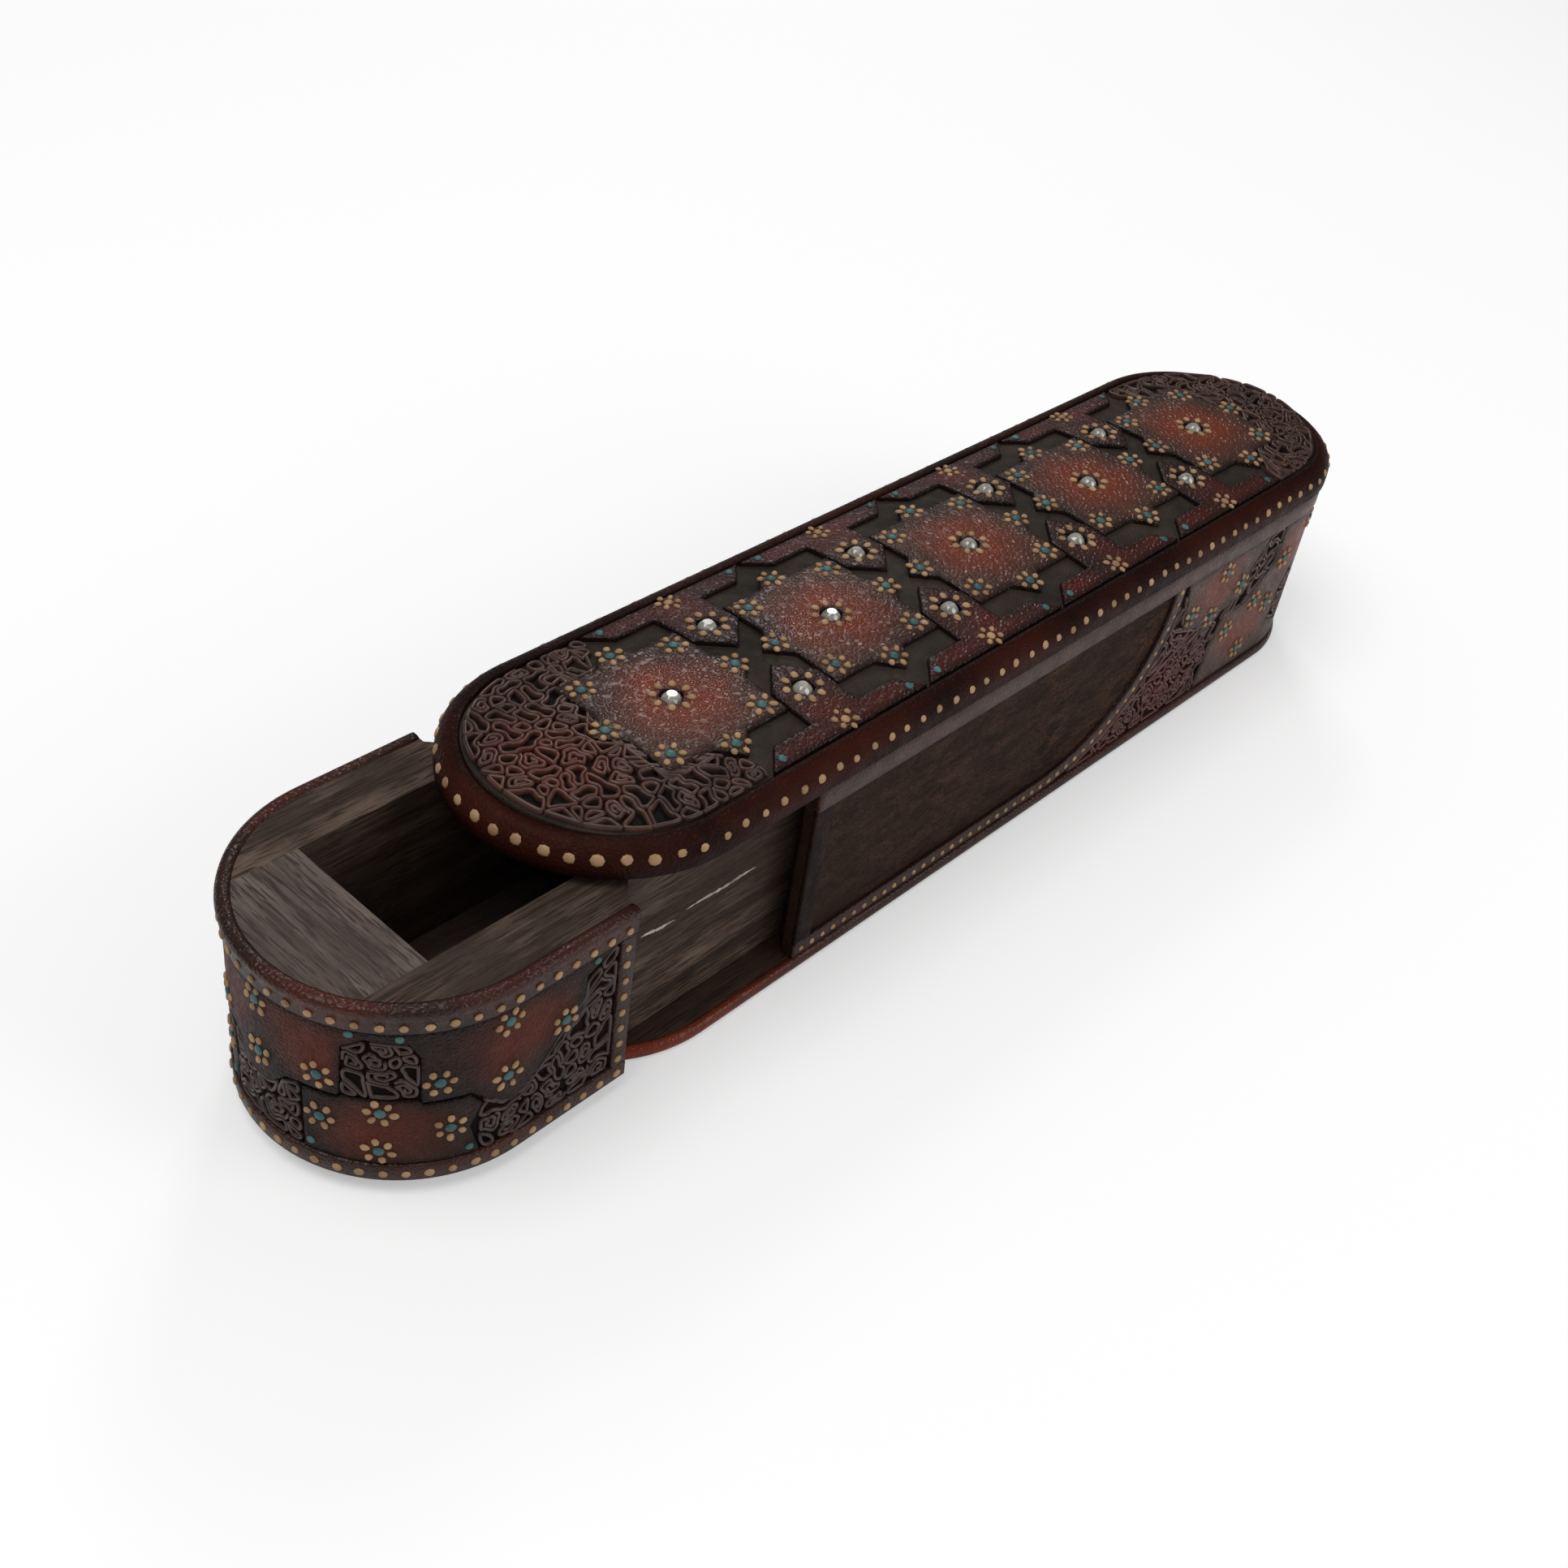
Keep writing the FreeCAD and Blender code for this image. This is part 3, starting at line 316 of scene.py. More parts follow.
class Relief:
    """Mesh of one piece, drawn in millimetres along, across and out of the surface it lies on."""

    def __init__(self, surface):
        self.surface = surface
        self.spots = []
        self.faces = []
        self.marks = {"glow": [], "edge": []}
        self.known = {}

    def spot(self, along, across, out, edge=0.0, glow=0.0):
        """Number of a spot, shared by all faces that meet there, with its marks for the finish."""
        key = (round(along, 4), round(across, 4), round(out, 4))
        if key not in self.known:
            self.known[key] = len(self.spots)
            self.spots.append(self.surface(along, across, out) * MM)
            self.marks["edge"].append(edge)
            self.marks["glow"].append(glow)
        return self.known[key]

    def join(self, rows, closed=True):
        """Faces between rows of spots. A closed row has one from its last spot to its first as well."""
        for this, following in zip(rows, rows[1:]):
            for k in range(0 if closed else 1, len(this)):
                face = (this[k - 1], this[k], following[k], following[k - 1])
                if len(set(face)) == 4:
                    self.faces.append(face)

    def finish(self, name, body, slot, finish, *replaces, smooth=True):
        mesh = bpy.data.meshes.new(name)
        mesh.from_pydata(self.spots, [], self.faces)
        for mark, values in self.marks.items():
            mesh.attributes.new(mark, "FLOAT", "POINT").data.foreach_set("value", values)
        work = bmesh.new()
        work.from_mesh(mesh)
        bmesh.ops.recalc_face_normals(work, faces=work.faces)
        work.to_mesh(mesh)
        work.free()
        for face in mesh.polygons:
            face.use_smooth = smooth
        mesh.materials.append(finish)
        piece = put_in_scene(name, mesh)
        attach(piece, body)
        if replaces:
            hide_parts(*replaces)


def in_mm(corners):
    """Lowest and highest corner of a CAD node, in millimetres."""
    return [corner / MM for corner in corners]


def clamped(value, high=1.0):
    return max(0.0, min(high, value))


rim_low, rim_high = in_mm(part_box("lid_rim_leather"))
base_low, base_high = in_mm(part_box("base_edge_leather"))
HALF = rim_high.y
FRONT_MIDDLE = rim_low.x + HALF
REAR_MIDDLE = rim_high.x - HALF
STRAIGHT = REAR_MIDDLE - FRONT_MIDDLE
TURN = math.pi * HALF
ROUND = 2 * (STRAIGHT + TURN)


def around(along, reach):
    """Point on the round-ended outline: from the front of the right side, round the rear and back."""
    along = along % ROUND
    if along < STRAIGHT:
        return FRONT_MIDDLE + along, -reach
    if along < STRAIGHT + TURN:
        angle = (along - STRAIGHT) / HALF - math.pi / 2
        return REAR_MIDDLE + reach * math.cos(angle), reach * math.sin(angle)
    if along < 2 * STRAIGHT + TURN:
        return REAR_MIDDLE - (along - STRAIGHT - TURN), reach
    angle = (along - 2 * STRAIGHT - TURN) / HALF + math.pi / 2
    return FRONT_MIDDLE + reach * math.cos(angle), reach * math.sin(angle)


def on_boards(along, level, out):
    """Surface of the boards' edge: along the outline, up, and out from the edge."""
    return Vector((*around(along, HALF + out), level))


def ring(name, section, surface, length, body, finish, replaced, closed=True, slot="edge_leather", glow=None):
    """Piece of one cross-section, a closed loop of (across, out, edge), drawn along a surface."""
    form = Relief(surface)
    count = int(length / RING_STEP)
    rows = []
    for k in range(count if closed else count + 1):
        along = length * k / count
        rows.append([
            form.spot(along, across, out, edge, glow(along, across) if glow else 0.0)
            for across, out, edge in section
        ])
    form.join(rows + rows[:1] if closed else rows)
    if not closed:
        form.faces += [tuple(rows[0]), tuple(rows[-1])]
    form.finish(name, body, slot, finish, replaced)


def edge_roll(bottom, top, depth, swell=1.2, turns=8):
    """Cross-section of leather drawn round a board's edge: a flat inside and a half-round outside."""
    half = (top - bottom) / 2
    loop = [(bottom, -depth, 0.0)]
    for k in range(turns + 1):
        angle = -math.pi / 2 + math.pi * k / turns
        loop.append((bottom + half + half * math.sin(angle), swell * (math.cos(angle) - 1), 0.0))
    return loop + [(top, -depth, 0.0)]


# Painted highlight on the rolled edge: strongest at the front end, fading to nothing 40 mm back along the
# sides.
def front_painted_highlight(along, across):
    return clamped((FRONT_MIDDLE + 40 - around(along, HALF)[0]) / 60)


# The glow tint of this leather is the painted orange-brown highlight at the front.
base_leather = leather(
    "base_edge_leather", (46, 20, 13), (68, 31, 19), glow=(138, 54, 24), cells=900.0, relief=0.00006,
    gloss=0.34, coat=0.25,
)
ring(
    "base_edge_wrap", edge_roll(base_low.z, base_high.z, 1.5), on_boards, ROUND, "case", base_leather,
    "base_edge_leather", glow=front_painted_highlight,
)

# Rim of the lid: one strip of dark leather moulded round the board's edge, steep and rounded.
# A row of raised paint dots runs round it, larger at the front.
RIM_STEEP = 2.4
RIM_ROUND = 4.0
RIM_WIDTH = 4.4
RIM_WRAP = 1.6
RIM_TURNS = 8
LID_UNDER = rim_low.z
RIM_BEND = LID_UNDER + RIM_STEEP
REBATE = LID_UNDER + 4.0


def on_rim(along, climb, out):
    """Surface of the rim: along the outline, up its section, and out from it."""
    if climb < RIM_STEEP:
        return Vector((*around(along, HALF + out), LID_UNDER + climb))
    angle = min((climb - RIM_STEEP) / RIM_ROUND, math.pi / 2)
    reach = HALF - RIM_ROUND + (RIM_ROUND + out) * math.cos(angle)
    return Vector((*around(along, reach), RIM_BEND + (RIM_ROUND + out) * math.sin(angle)))


def rim_glow(along, across):
    return clamped(0.15 + 0.9 * noise.noise((along * 0.035, across * 0.05, 3.0)), 0.6)


rim_section = [
    (LID_UNDER, -RIM_WRAP, 0.0), (LID_UNDER, -0.3, 0.2), (LID_UNDER + 0.3, 0.0, 0.5), (RIM_BEND, 0.0, 0.0),
]
for k in range(1, RIM_TURNS + 1):
    angle = math.pi / 2 * k / RIM_TURNS
    rim_section.append((
        RIM_BEND + RIM_ROUND * math.sin(angle), RIM_ROUND * (math.cos(angle) - 1), 0.0 if k < 7 else 0.4,
    ))
rim_section += [
    (RIM_BEND + RIM_ROUND - 0.2, -RIM_WIDTH, 0.8), (REBATE, -RIM_WIDTH, 0.0), (REBATE, -RIM_WRAP, 0.0),
]
rim_leather = leather(
    "lid_rim_leather", (25, 10, 7), (50, 20, 14), glow=(76, 30, 15), worn=(20, 10, 8), gloss=0.46,
    coat=0.0, specular=0.08,
)
ring("lid_rim", rim_section, on_boards, ROUND, "case", rim_leather, "lid_rim_leather", glow=rim_glow)

chance = random.Random(7)
DROP_SIDES = 8
DROP_RINGS = ((1.0, 0.0), (0.97, 0.45), (0.72, 0.85), (0.35, 1.0))


def add_drop(form, along, across, length, width, height, angle=0.0, base=-0.05):
    """Drop of raised paint: a low uneven dome, longer one way, closed underneath."""
    tone = chance.random()
    shape = [1 + 0.08 * chance.uniform(-1, 1) for _ in range(DROP_SIDES)]
    rings = []
    for share, lift in DROP_RINGS:
        spots = []
        for k in range(DROP_SIDES):
            turn = 2 * math.pi * k / DROP_SIDES
            a = length / 2 * share * math.cos(turn) * shape[k]
            b = width / 2 * share * math.sin(turn) * shape[k]
            spots.append(form.spot(
                along + a * math.cos(angle) - b * math.sin(angle),
                across + a * math.sin(angle) + b * math.cos(angle),
                base + height * lift, tone,
            ))
        rings.append(spots)
    form.join(rings)
    form.faces += [tuple(rings[-1]), tuple(reversed(rings[0]))]


def toned(name, deep, light, glow=None, rough=(0.38, 0.53), relief=0.0001, strength=0.5, coat=0.0):
    """Thick paint or dyed cord. Each drop or cord has a tone of its own."""
    finish, tree, shader = new_finish(name)
    mottle = add_node(tree, "Group", node_tree=LEATHER_GRAIN).outputs["Mottle"]
    tone = maths(tree, "MULTIPLY", maths(tree, "ADD", mark_of(tree, "edge"), mottle), 0.5)
    colour = mixed(tree, tone, deep, light)
    if glow:
        colour = mixed(tree, mark_of(tree, "glow"), colour, glow)
    fill(shader, {
        "Base Color": colour,
        "Roughness": ranged(tree, mottle, to_low=rough[0], to_high=rough[1]),
        "Normal": bumped(tree, mottle, relief, strength),
        "Coat Weight": coat,
    })
    return finish


cream_paint = toned("cream_paint", (142, 106, 72), (202, 164, 120))
teal_paint = toned("teal_paint", (44, 82, 84), (84, 130, 128))

RIM_DOT_CLIMB = 4.0
RIM_DOT_STEP = 4.75
rim_dots = Relief(on_rim)
count = round(ROUND / RIM_DOT_STEP)
for k in range(count):
    along = ROUND * k / count
    size = 2.5 if around(along, HALF)[0] < FRONT_MIDDLE - 10 else 1.9
    size *= 1 + 0.12 * chance.uniform(-1, 1)
    climb = RIM_DOT_CLIMB + 0.25 * chance.uniform(-1, 1)
    add_drop(rim_dots, along + 0.3 * chance.uniform(-1, 1), climb, size, size * 0.92, 0.55, base=-0.3)
rim_dots.finish("lid_rim_dots", "case", "edge_leather", cream_paint)

# Chalk scratch on the bare right side of the drawer: two short pale strokes just behind the nose.
# It lies on the wood as a trace of dust, so it is only a film.
CHALK_STROKES = [((-109.2, 26.6), (-100.4, 25.5)), ((-98.1, 26.5), (-79.8, 26.3))]
CHALK_STEPS = 24
CHALK_FILM = 0.03
RAIL_THICK = 5.8
RAIL_SIDE = -(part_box("drawer_floor")[1].y / MM + RAIL_THICK)
chalk_finish, tree, shader = new_finish("chalk")
chalk_grain = add_node(tree, "Group", node_tree=LEATHER_GRAIN).outputs["Mottle"]
fill(shader, {"Base Color": mixed(tree, chalk_grain, (138, 126, 114), (214, 204, 194)), "Roughness": 0.95})
chalk = Relief(lambda along, level, out: Vector((along, RAIL_SIDE - out, level)))
for start, end in CHALK_STROKES:
    line = []
    for k in range(CHALK_STEPS + 1):
        share = k / CHALK_STEPS
        x = start[0] + (end[0] - start[0]) * share
        z = start[1] + (end[1] - start[1]) * share + 0.12 * math.sin(9 * share)
        half = 0.5 * math.sin(math.pi * share) ** 0.5 * chance.uniform(0.3, 1.0)
        line.append((chalk.spot(x, z - half, CHALK_FILM), chalk.spot(x, z + half + 0.001, CHALK_FILM)))
    for (a, b), (c, d) in zip(line, line[1:]):
        chalk.faces.append((a, c, d, b))
chalk.finish("chalk_scratch", "drawer", "old_wood", chalk_finish)

# Floor of the lid's channels: one sheet of dark grey-green leather under all the panels.
# At both round ends it is stained nearly black, under the filigree.
CAMBER = 185.0
PANEL_THICK = 1.1
LID_GROUND = 0.6
lid_low, lid_high = in_mm(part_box("lid_star_panels"))
FIELD_HALF = in_mm(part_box("lid_ground_leather"))[1].y
PANEL_EDGE = FIELD_HALF - 0.5
STAR_TIP = lid_high.y
STAR_SQUARE = STAR_TIP - 4.5
STAR_PITCH = 2 * STAR_TIP + 4.4
STAR_PLACES = [lid_low.x + STAR_TIP + k * STAR_PITCH for k in range(5)]
BETWEEN_STARS = [x + STAR_PITCH / 2 for x in STAR_PLACES[:-1]]


def on_lid(along, across, out):
    """Crowned top of the lid: along the box, across it, and up from the panels."""
    return Vector((along, across, lid_high.z - CAMBER + math.sqrt(CAMBER ** 2 - across ** 2) + out))


def sides_of(loop):
    """Each spot of a closed outline with the one after it."""
    return zip(loop, loop[1:] + loop[:1])


def area_of(loop):
    return sum(x0 * y1 - x1 * y0 for (x0, y0), (x1, y1) in sides_of(loop)) / 2


def limits(loop, margin=0.0):
    """Least and greatest x, then y, of an outline."""
    xs, ys = zip(*loop)
    return min(xs) - margin, max(xs) + margin, min(ys) - margin, max(ys) + margin


def is_inside(loop, x, y):
    hit = False
    for (x0, y0), (x1, y1) in sides_of(loop):
        if (y0 > y) != (y1 > y) and x < x0 + (y - y0) * (x1 - x0) / (y1 - y0):
            hit = not hit
    return hit


def nearest_on(loop, x, y):
    """Nearest spot of an outline: how far off it is, where it is, and which way its edge runs."""
    best = (math.inf,)
    for (x0, y0), (x1, y1) in sides_of(loop):
        dx = x1 - x0
        dy = y1 - y0
        share = clamped(((x - x0) * dx + (y - y0) * dy) / (dx * dx + dy * dy))
        px = x0 + share * dx
        py = y0 + share * dy
        away = math.hypot(px - x, py - y)
        if away < best[0]:
            best = (away, px, py, dx, dy)
    return best


def turned(loop, anticlockwise):
    """The same outline, run the given way round."""
    return list(loop) if (area_of(loop) > 0) == anticlockwise else list(reversed(loop))


def divided(loop, step):
    """Outline with further spots on it, so that no edge is longer than the step."""
    spots = []
    for (x0, y0), (x1, y1) in sides_of(loop):
        count = max(1, math.ceil(math.hypot(x1 - x0, y1 - y0) / step))
        spots += [(x0 + (x1 - x0) * k / count, y0 + (y1 - y0) * k / count) for k in range(count)]
    return spots


def drawn_in(loop, inset):
    """Outline moved to its left by an inset, its corners mitred."""
    spots = []
    for k, (x, y) in enumerate(loop):
        xa, ya = loop[k - 1]
        xb, yb = loop[(k + 1) % len(loop)]
        before = Vector((x - xa, y - ya)).normalized()
        after = Vector((xb - x, yb - y)).normalized()
        left = Vector((-after.y, after.x))
        across = Vector((-before.y - after.y, before.x + after.x))
        across = across.normalized() if across.length > 1e-6 else left
        mitre = max(0.5, across.dot(left))
        spots.append((x + across.x * inset / mitre, y + across.y * inset / mitre))
    return spots


def add_plate(form, loops, thick, top=0.0, bend=0.35, grid=1.2, glow=None):
    """Sheet of leather cut to an outline with holes, its upper edge softly rounded."""
    shine = glow or (lambda x, y: 0.0)
    spots = []
    edges = []
    for number, loop in enumerate(loops):
        outline = divided(turned(loop, number == 0), grid)
        rows = []
        soft = 0.3 * bend
        for inset, drop, edge in ((0, thick, 1.0), (0, bend, 1.0), (soft, soft, 1.0), (bend, 0, 0.7)):
            row = drawn_in(outline, inset) if inset else outline
            rows.append([form.spot(x, y, top - drop, edge, shine(x, y)) for x, y in row])
        form.join(rows)
        if number == 0:
            low_x, high_x, low_y, high_y = limits(row)
        first = len(spots)
        spots += [Vector(spot) for spot in row]
        edges += [(first + k, first + (k + 1) % len(row)) for k in range(len(row))]

    def is_in_hole(x, y):
        return any(is_inside(hole, x, y) for hole in loops[1:])

    def from_edge(x, y):
        return min(nearest_on(loop, x, y)[0] for loop in loops)

    for i in range(int((high_x - low_x) / grid) + 1):
        for j in range(int((high_y - low_y) / grid) + 1):
            x = low_x + (i + 0.5 * (j % 2)) * grid
            y = low_y + j * grid
            if is_inside(loops[0], x, y) and not is_in_hole(x, y) and from_edge(x, y) > bend + 0.4 * grid:
                spots.append(Vector((x, y)))
    made, _, faces, *_ = delaunay_2d_cdt(spots, edges, [], 1, 1e-6)
    for face in faces:
        if not is_in_hole(*(sum((made[k] for k in face), Vector((0, 0))) / len(face))):
            form.faces.append(tuple(
                form.spot(x, y, top, clamped(0.9 - 0.5 * from_edge(x, y), 0.9), shine(x, y))
                for x, y in (made[k] for k in face)
            ))


def arc_spots(x, y, reach, start, end, turns, rise=None):
    """Spots along an arc between two angles in degrees. With a rise the arc is part of an ellipse."""
    spots = []
    for k in range(turns + 1):
        angle = math.radians(start + (end - start) * k / turns)
        spots.append((x + reach * math.cos(angle), y + (rise or reach) * math.sin(angle)))
    return spots


def star_outline(x, grow=0.0):
    """Eight-pointed star: a square and a second square turned on its point."""
    tip = STAR_TIP + grow
    side = STAR_SQUARE + grow
    notch = STAR_TIP - STAR_SQUARE
    spots = []
    for turn in range(4):
        angle = turn * math.pi / 2
        for along, across in ((tip, 0), (side, notch), (side, side), (notch, side)):
            spots.append((
                x + along * math.cos(angle) - across * math.sin(angle),
                along * math.sin(angle) + across * math.cos(angle),
            ))
    return spots


def lid_end(x, middle, way):
    """Region between the outermost star and the round end, on the given side (-1 is the front)."""
    border = arc_spots(middle, 0, PANEL_EDGE, 90, 90 - 180 * way, 24)
    star_side = [spot for spot in star_outline(x, 0.8) if (spot[0] - x) * way > 0.5]
    star_side.sort(key=lambda spot: spot[1])
    tip = STAR_TIP + 0.8
    return [(x, PANEL_EDGE)] + border + [(x, -PANEL_EDGE), (x, -tip)] + star_side + [(x, tip)]


def end_stain(x, y):
    return 1.0 if any(is_inside(region, x, y) for region in LID_ENDS) else 0.0


LID_ENDS = [lid_end(STAR_PLACES[0], FRONT_MIDDLE, -1), lid_end(STAR_PLACES[-1], REAR_MIDDLE, 1)]
channel_leather = leather(
    "channel_leather", (44, 39, 34), (68, 58, 50), glow=(12, 9, 8), cells=1100.0, relief=0.00008, gloss=0.6,
    coat=0.0, specular=0.12,
)
lid_plan = arc_spots(FRONT_MIDDLE, 0, FIELD_HALF, 90, 270, 30)
lid_plan += arc_spots(REAR_MIDDLE, 0, FIELD_HALF, -90, 90, 30)
lid_floor = Relief(on_lid)
add_plate(lid_floor, [lid_plan], LID_GROUND, top=-PANEL_THICK, bend=0.1, grid=2.0, glow=end_stain)
lid_floor.finish("lid_channel_floor", "case", "channel_leather", channel_leather, "lid_ground_leather")

# Star panels and side panels of the lid: thick leather cut through with a knife, then stained.
# Each star glows red-brown round its stone, and the feet of the side panels are redder.
GLOW_REACH = 12.5
STONE_HOLE = 2.3
SIDE_STONE = 12.4
HEAD_APEX = 4.0
PANEL_GAP = 0.4


def star_glow(x, y):
    nearest = min(STAR_PLACES, key=lambda place: abs(place - x))
    reach = math.hypot(x - nearest, y) / GLOW_REACH
    return clamped(1.15 - reach ** 1.6 + 0.25 * noise.noise((x * 0.15, y * 0.15, 5.0)))


def side_glow(x, y):
    patch = 0.5 + 0.8 * noise.noise((x * 0.12, y * 0.12, 9.0))
    return clamped(clamped((abs(y) - 13.0) / 6.0) * patch + 0.1)


def side_panel_outline(x, side):
    """Panel between two stars: a pointed head on a wide foot along the rim."""
    slant = HEAD_APEX + STAR_PITCH / 2
    head = STAR_PITCH / 2 - STAR_SQUARE - PANEL_GAP
    foot_top = slant - (PANEL_EDGE - STAR_TIP) + PANEL_GAP
    foot_half = STAR_PITCH / 2 - (slant - foot_top)
    half = [(head, HEAD_APEX + head), (head, foot_top), (foot_half, foot_top)]
    half.append((STAR_PITCH / 2 - 0.5, PANEL_EDGE))
    spots = [(0.0, HEAD_APEX)] + half + [(-along, across) for along, across in half[::-1]]
    return [(x + along, side * across) for along, across in spots]


def stone_hole(x, y):
    return arc_spots(x, y, STONE_HOLE, 0, 360, 20)[:-1]


star_leather = leather(
    "star_leather", (54, 33, 26), (92, 60, 48), glow=(128, 50, 22), worn=(26, 15, 12), cells=850.0,
    relief=0.00012, coat=0.28,
)
side_leather = leather(
    "side_panel_leather", (42, 23, 19), (66, 38, 31), glow=(90, 30, 21), worn=(24, 13, 11), cells=900.0,
    relief=0.00011, gloss=0.42,
)
stars = Relief(on_lid)
for x in STAR_PLACES:
    add_plate(stars, [star_outline(x), stone_hole(x, 0)], PANEL_THICK, glow=star_glow)
stars.finish("star_panels", "case", "panel_leather", star_leather, "lid_star_panels")
for name, side in (("side_panels_right", -1), ("side_panels_left", 1)):
    panels = Relief(on_lid)
    for x in BETWEEN_STARS:
        loops = [side_panel_outline(x, side), stone_hole(x, side * SIDE_STONE)]
        add_plate(panels, loops, PANEL_THICK, glow=side_glow)
    panels.finish(name, "case", "panel_leather", side_leather, "lid_" + name)

# Cut glass stones, foiled behind, glued in their holes: one on each star and each side panel.
# Every stone stands in a ring of eight cream drops.
STONE_ROWS = ((2.0, 0.0, 0.0), (2.0, 0.5, 0.0), (1.55, 1.2, 0.5), (1.0, 1.7, 0.0))
STONE_SIDES = 10
STONE_PLACES = [(x, 0.0) for x in STAR_PLACES]
STONE_PLACES += [(x, side * SIDE_STONE) for side in (-1, 1) for x in BETWEEN_STARS]


def add_stone(form, x, y):
    """Cut stone: an upright girdle, two rows of facets set half a step apart, and a flat table."""
    rows = []
    for radius, lift, shift in STONE_ROWS:
        angles = [2 * math.pi * (k + shift) / STONE_SIDES for k in range(STONE_SIDES)]
        rows.append([
            form.spot(x + radius * math.cos(angle), y + radius * math.sin(angle), lift - PANEL_THICK)
            for angle in angles
        ])
    girdle, shoulder, crown, table = rows
    for k in range(STONE_SIDES):
        form.faces += [
            (girdle[k - 1], girdle[k], shoulder[k], shoulder[k - 1]),
            (shoulder[k - 1], shoulder[k], crown[k - 1]),
            (shoulder[k], crown[k], crown[k - 1]),
            (crown[k - 1], crown[k], table[k]),
            (crown[k - 1], table[k], table[k - 1]),
        ]
    form.faces += [tuple(table), tuple(reversed(girdle))]


glass, tree, shader = new_finish("foiled_glass")
flaws = grained(tree, add_node(tree, "TexCoord").outputs["Object"], 900.0, 2.0)
fill(shader, {
    "Base Color": mixed(tree, flaws, (96, 88, 80), (236, 232, 222)),
    "Metallic": 0.2,
    "Roughness": 0.15,
    "Coat Weight": 1.0,
    "Coat Roughness": 0.03,
})
gems = Relief(on_lid)
for x, y in STONE_PLACES:
    add_stone(gems, x, y)
gems.finish("cut_stones", "case", "clear_glass", glass, "lid_stones", smooth=False)

# Painted flowers of the lid: six cream petals round a teal drop, eight to each star.
# The side panels have one all-cream flower and two teal drops at the rim.
PETAL_RING = 2.25
PETAL = 1.45
DROP_HEIGHT = 0.5
SETTING_RING = 3.55
STAR_FLOWER = 16.2
SIDE_FLOWER = 23.0
SIDE_DROP = (17.4, 23.6)


def add_flower(petals, hearts, along, across, size=1.0):
    """Painted flower, laid a little unevenly by hand."""
    turn = chance.uniform(0, 1)
    for k in range(6):
        angle = (k + turn) * math.pi / 3
        reach = PETAL_RING * size * chance.uniform(0.92, 1.06)
        add_drop(
            petals, along + reach * math.cos(angle), across + reach * math.sin(angle),
            PETAL * size * chance.uniform(0.95, 1.25), PETAL * size * chance.uniform(0.8, 1.0),
            DROP_HEIGHT, angle,
        )
    add_drop(hearts, along, across, 2.1 * size, 2.0 * size, DROP_HEIGHT + 0.05)


def add_setting(petals, along, across):
    """Ring of eight cream drops round a stone."""
    turn = chance.uniform(0, 1)
    for k in range(8):
        angle = (k + turn) * math.pi / 4
        add_drop(
            petals, along + SETTING_RING * math.cos(angle), across + SETTING_RING * math.sin(angle),
            chance.uniform(1.7, 2.0), chance.uniform(1.4, 1.65), DROP_HEIGHT, angle,
        )


lid_cream = Relief(on_lid)
lid_teal = Relief(on_lid)
for x in STAR_PLACES:
    for eighth in range(8):
        angle = eighth * math.pi / 4
        add_flower(lid_cream, lid_teal, x + STAR_FLOWER * math.cos(angle), STAR_FLOWER * math.sin(angle))
for x in BETWEEN_STARS:
    for side in (-1, 1):
        add_flower(lid_cream, lid_cream, x, side * SIDE_FLOWER, size=0.92)
        for way in (-1, 1):
            add_drop(lid_teal, x + way * SIDE_DROP[0], side * SIDE_DROP[1], 1.7, 1.7, DROP_HEIGHT)
for x, y in STONE_PLACES:
    add_setting(lid_cream, x, y)
lid_cream.finish("lid_cream_drops", "case", "panel_leather", cream_paint)
lid_teal.finish("lid_teal_drops", "case", "panel_leather", teal_paint)

# Filigree at both round ends of the lid: thin leather cord, curled and glued on edge over a dark ground.
# Long loops lie cord against cord, and between them a cord winds in on itself like a snail.
CORD_WIDTH = 0.72
CORD_SECTION = ((1, -9), (1, 0.28), (0.62, 0.06), (0, 0), (-0.62, 0.06), (-1, 0.28), (-1, -9))
LOOP_SPACE = 2.2
LOOP_FAR = 9
EDGE_ROOM = 0.8
SHORT_EDGE = 1.1
SNAIL_AREA = 7.0


def clipped(loop, x, y, way_x, way_y):
    """The part of a convex outline behind a line through a spot, the way it faces being given."""
    kept = []
    for (x0, y0), (x1, y1) in sides_of(loop):
        before = (x0 - x) * way_x + (y0 - y) * way_y
        after = (x1 - x) * way_x + (y1 - y) * way_y
        if before <= 0:
            kept.append((x0, y0))
        if before * after < 0:
            share = before / (before - after)
            kept.append((x0 + (x1 - x0) * share, y0 + (y1 - y0) * share))
    return kept


def loop_cells(region):
    """Cells round scattered middles; neighbours share whole edges. Each has its middle beside it."""
    low_x, high_x, low_y, high_y = limits(region, 1.5)
    middles = []
    for _ in range(int((high_x - low_x) * (high_y - low_y) * 4)):
        x = chance.uniform(low_x, high_x)
        y = chance.uniform(low_y, high_y)
        if any((x - px) ** 2 + (y - py) ** 2 < LOOP_SPACE ** 2 for px, py in middles):
            continue
        if is_inside(region, x, y) and nearest_on(region, x, y)[0] > EDGE_ROOM:
            middles.append((x, y))
    cells = []
    for x, y in middles:
        cell = [(low_x, low_y), (high_x, low_y), (high_x, high_y), (low_x, high_y)]
        for px, py in middles:
            away = math.hypot(px - x, py - y)
            if 0 < away < LOOP_FAR:
                cell = clipped(cell, (x + px) / 2, (y + py) / 2, (px - x) / away, (py - y) / away)
        cells.append(cell)
    return middles, cells


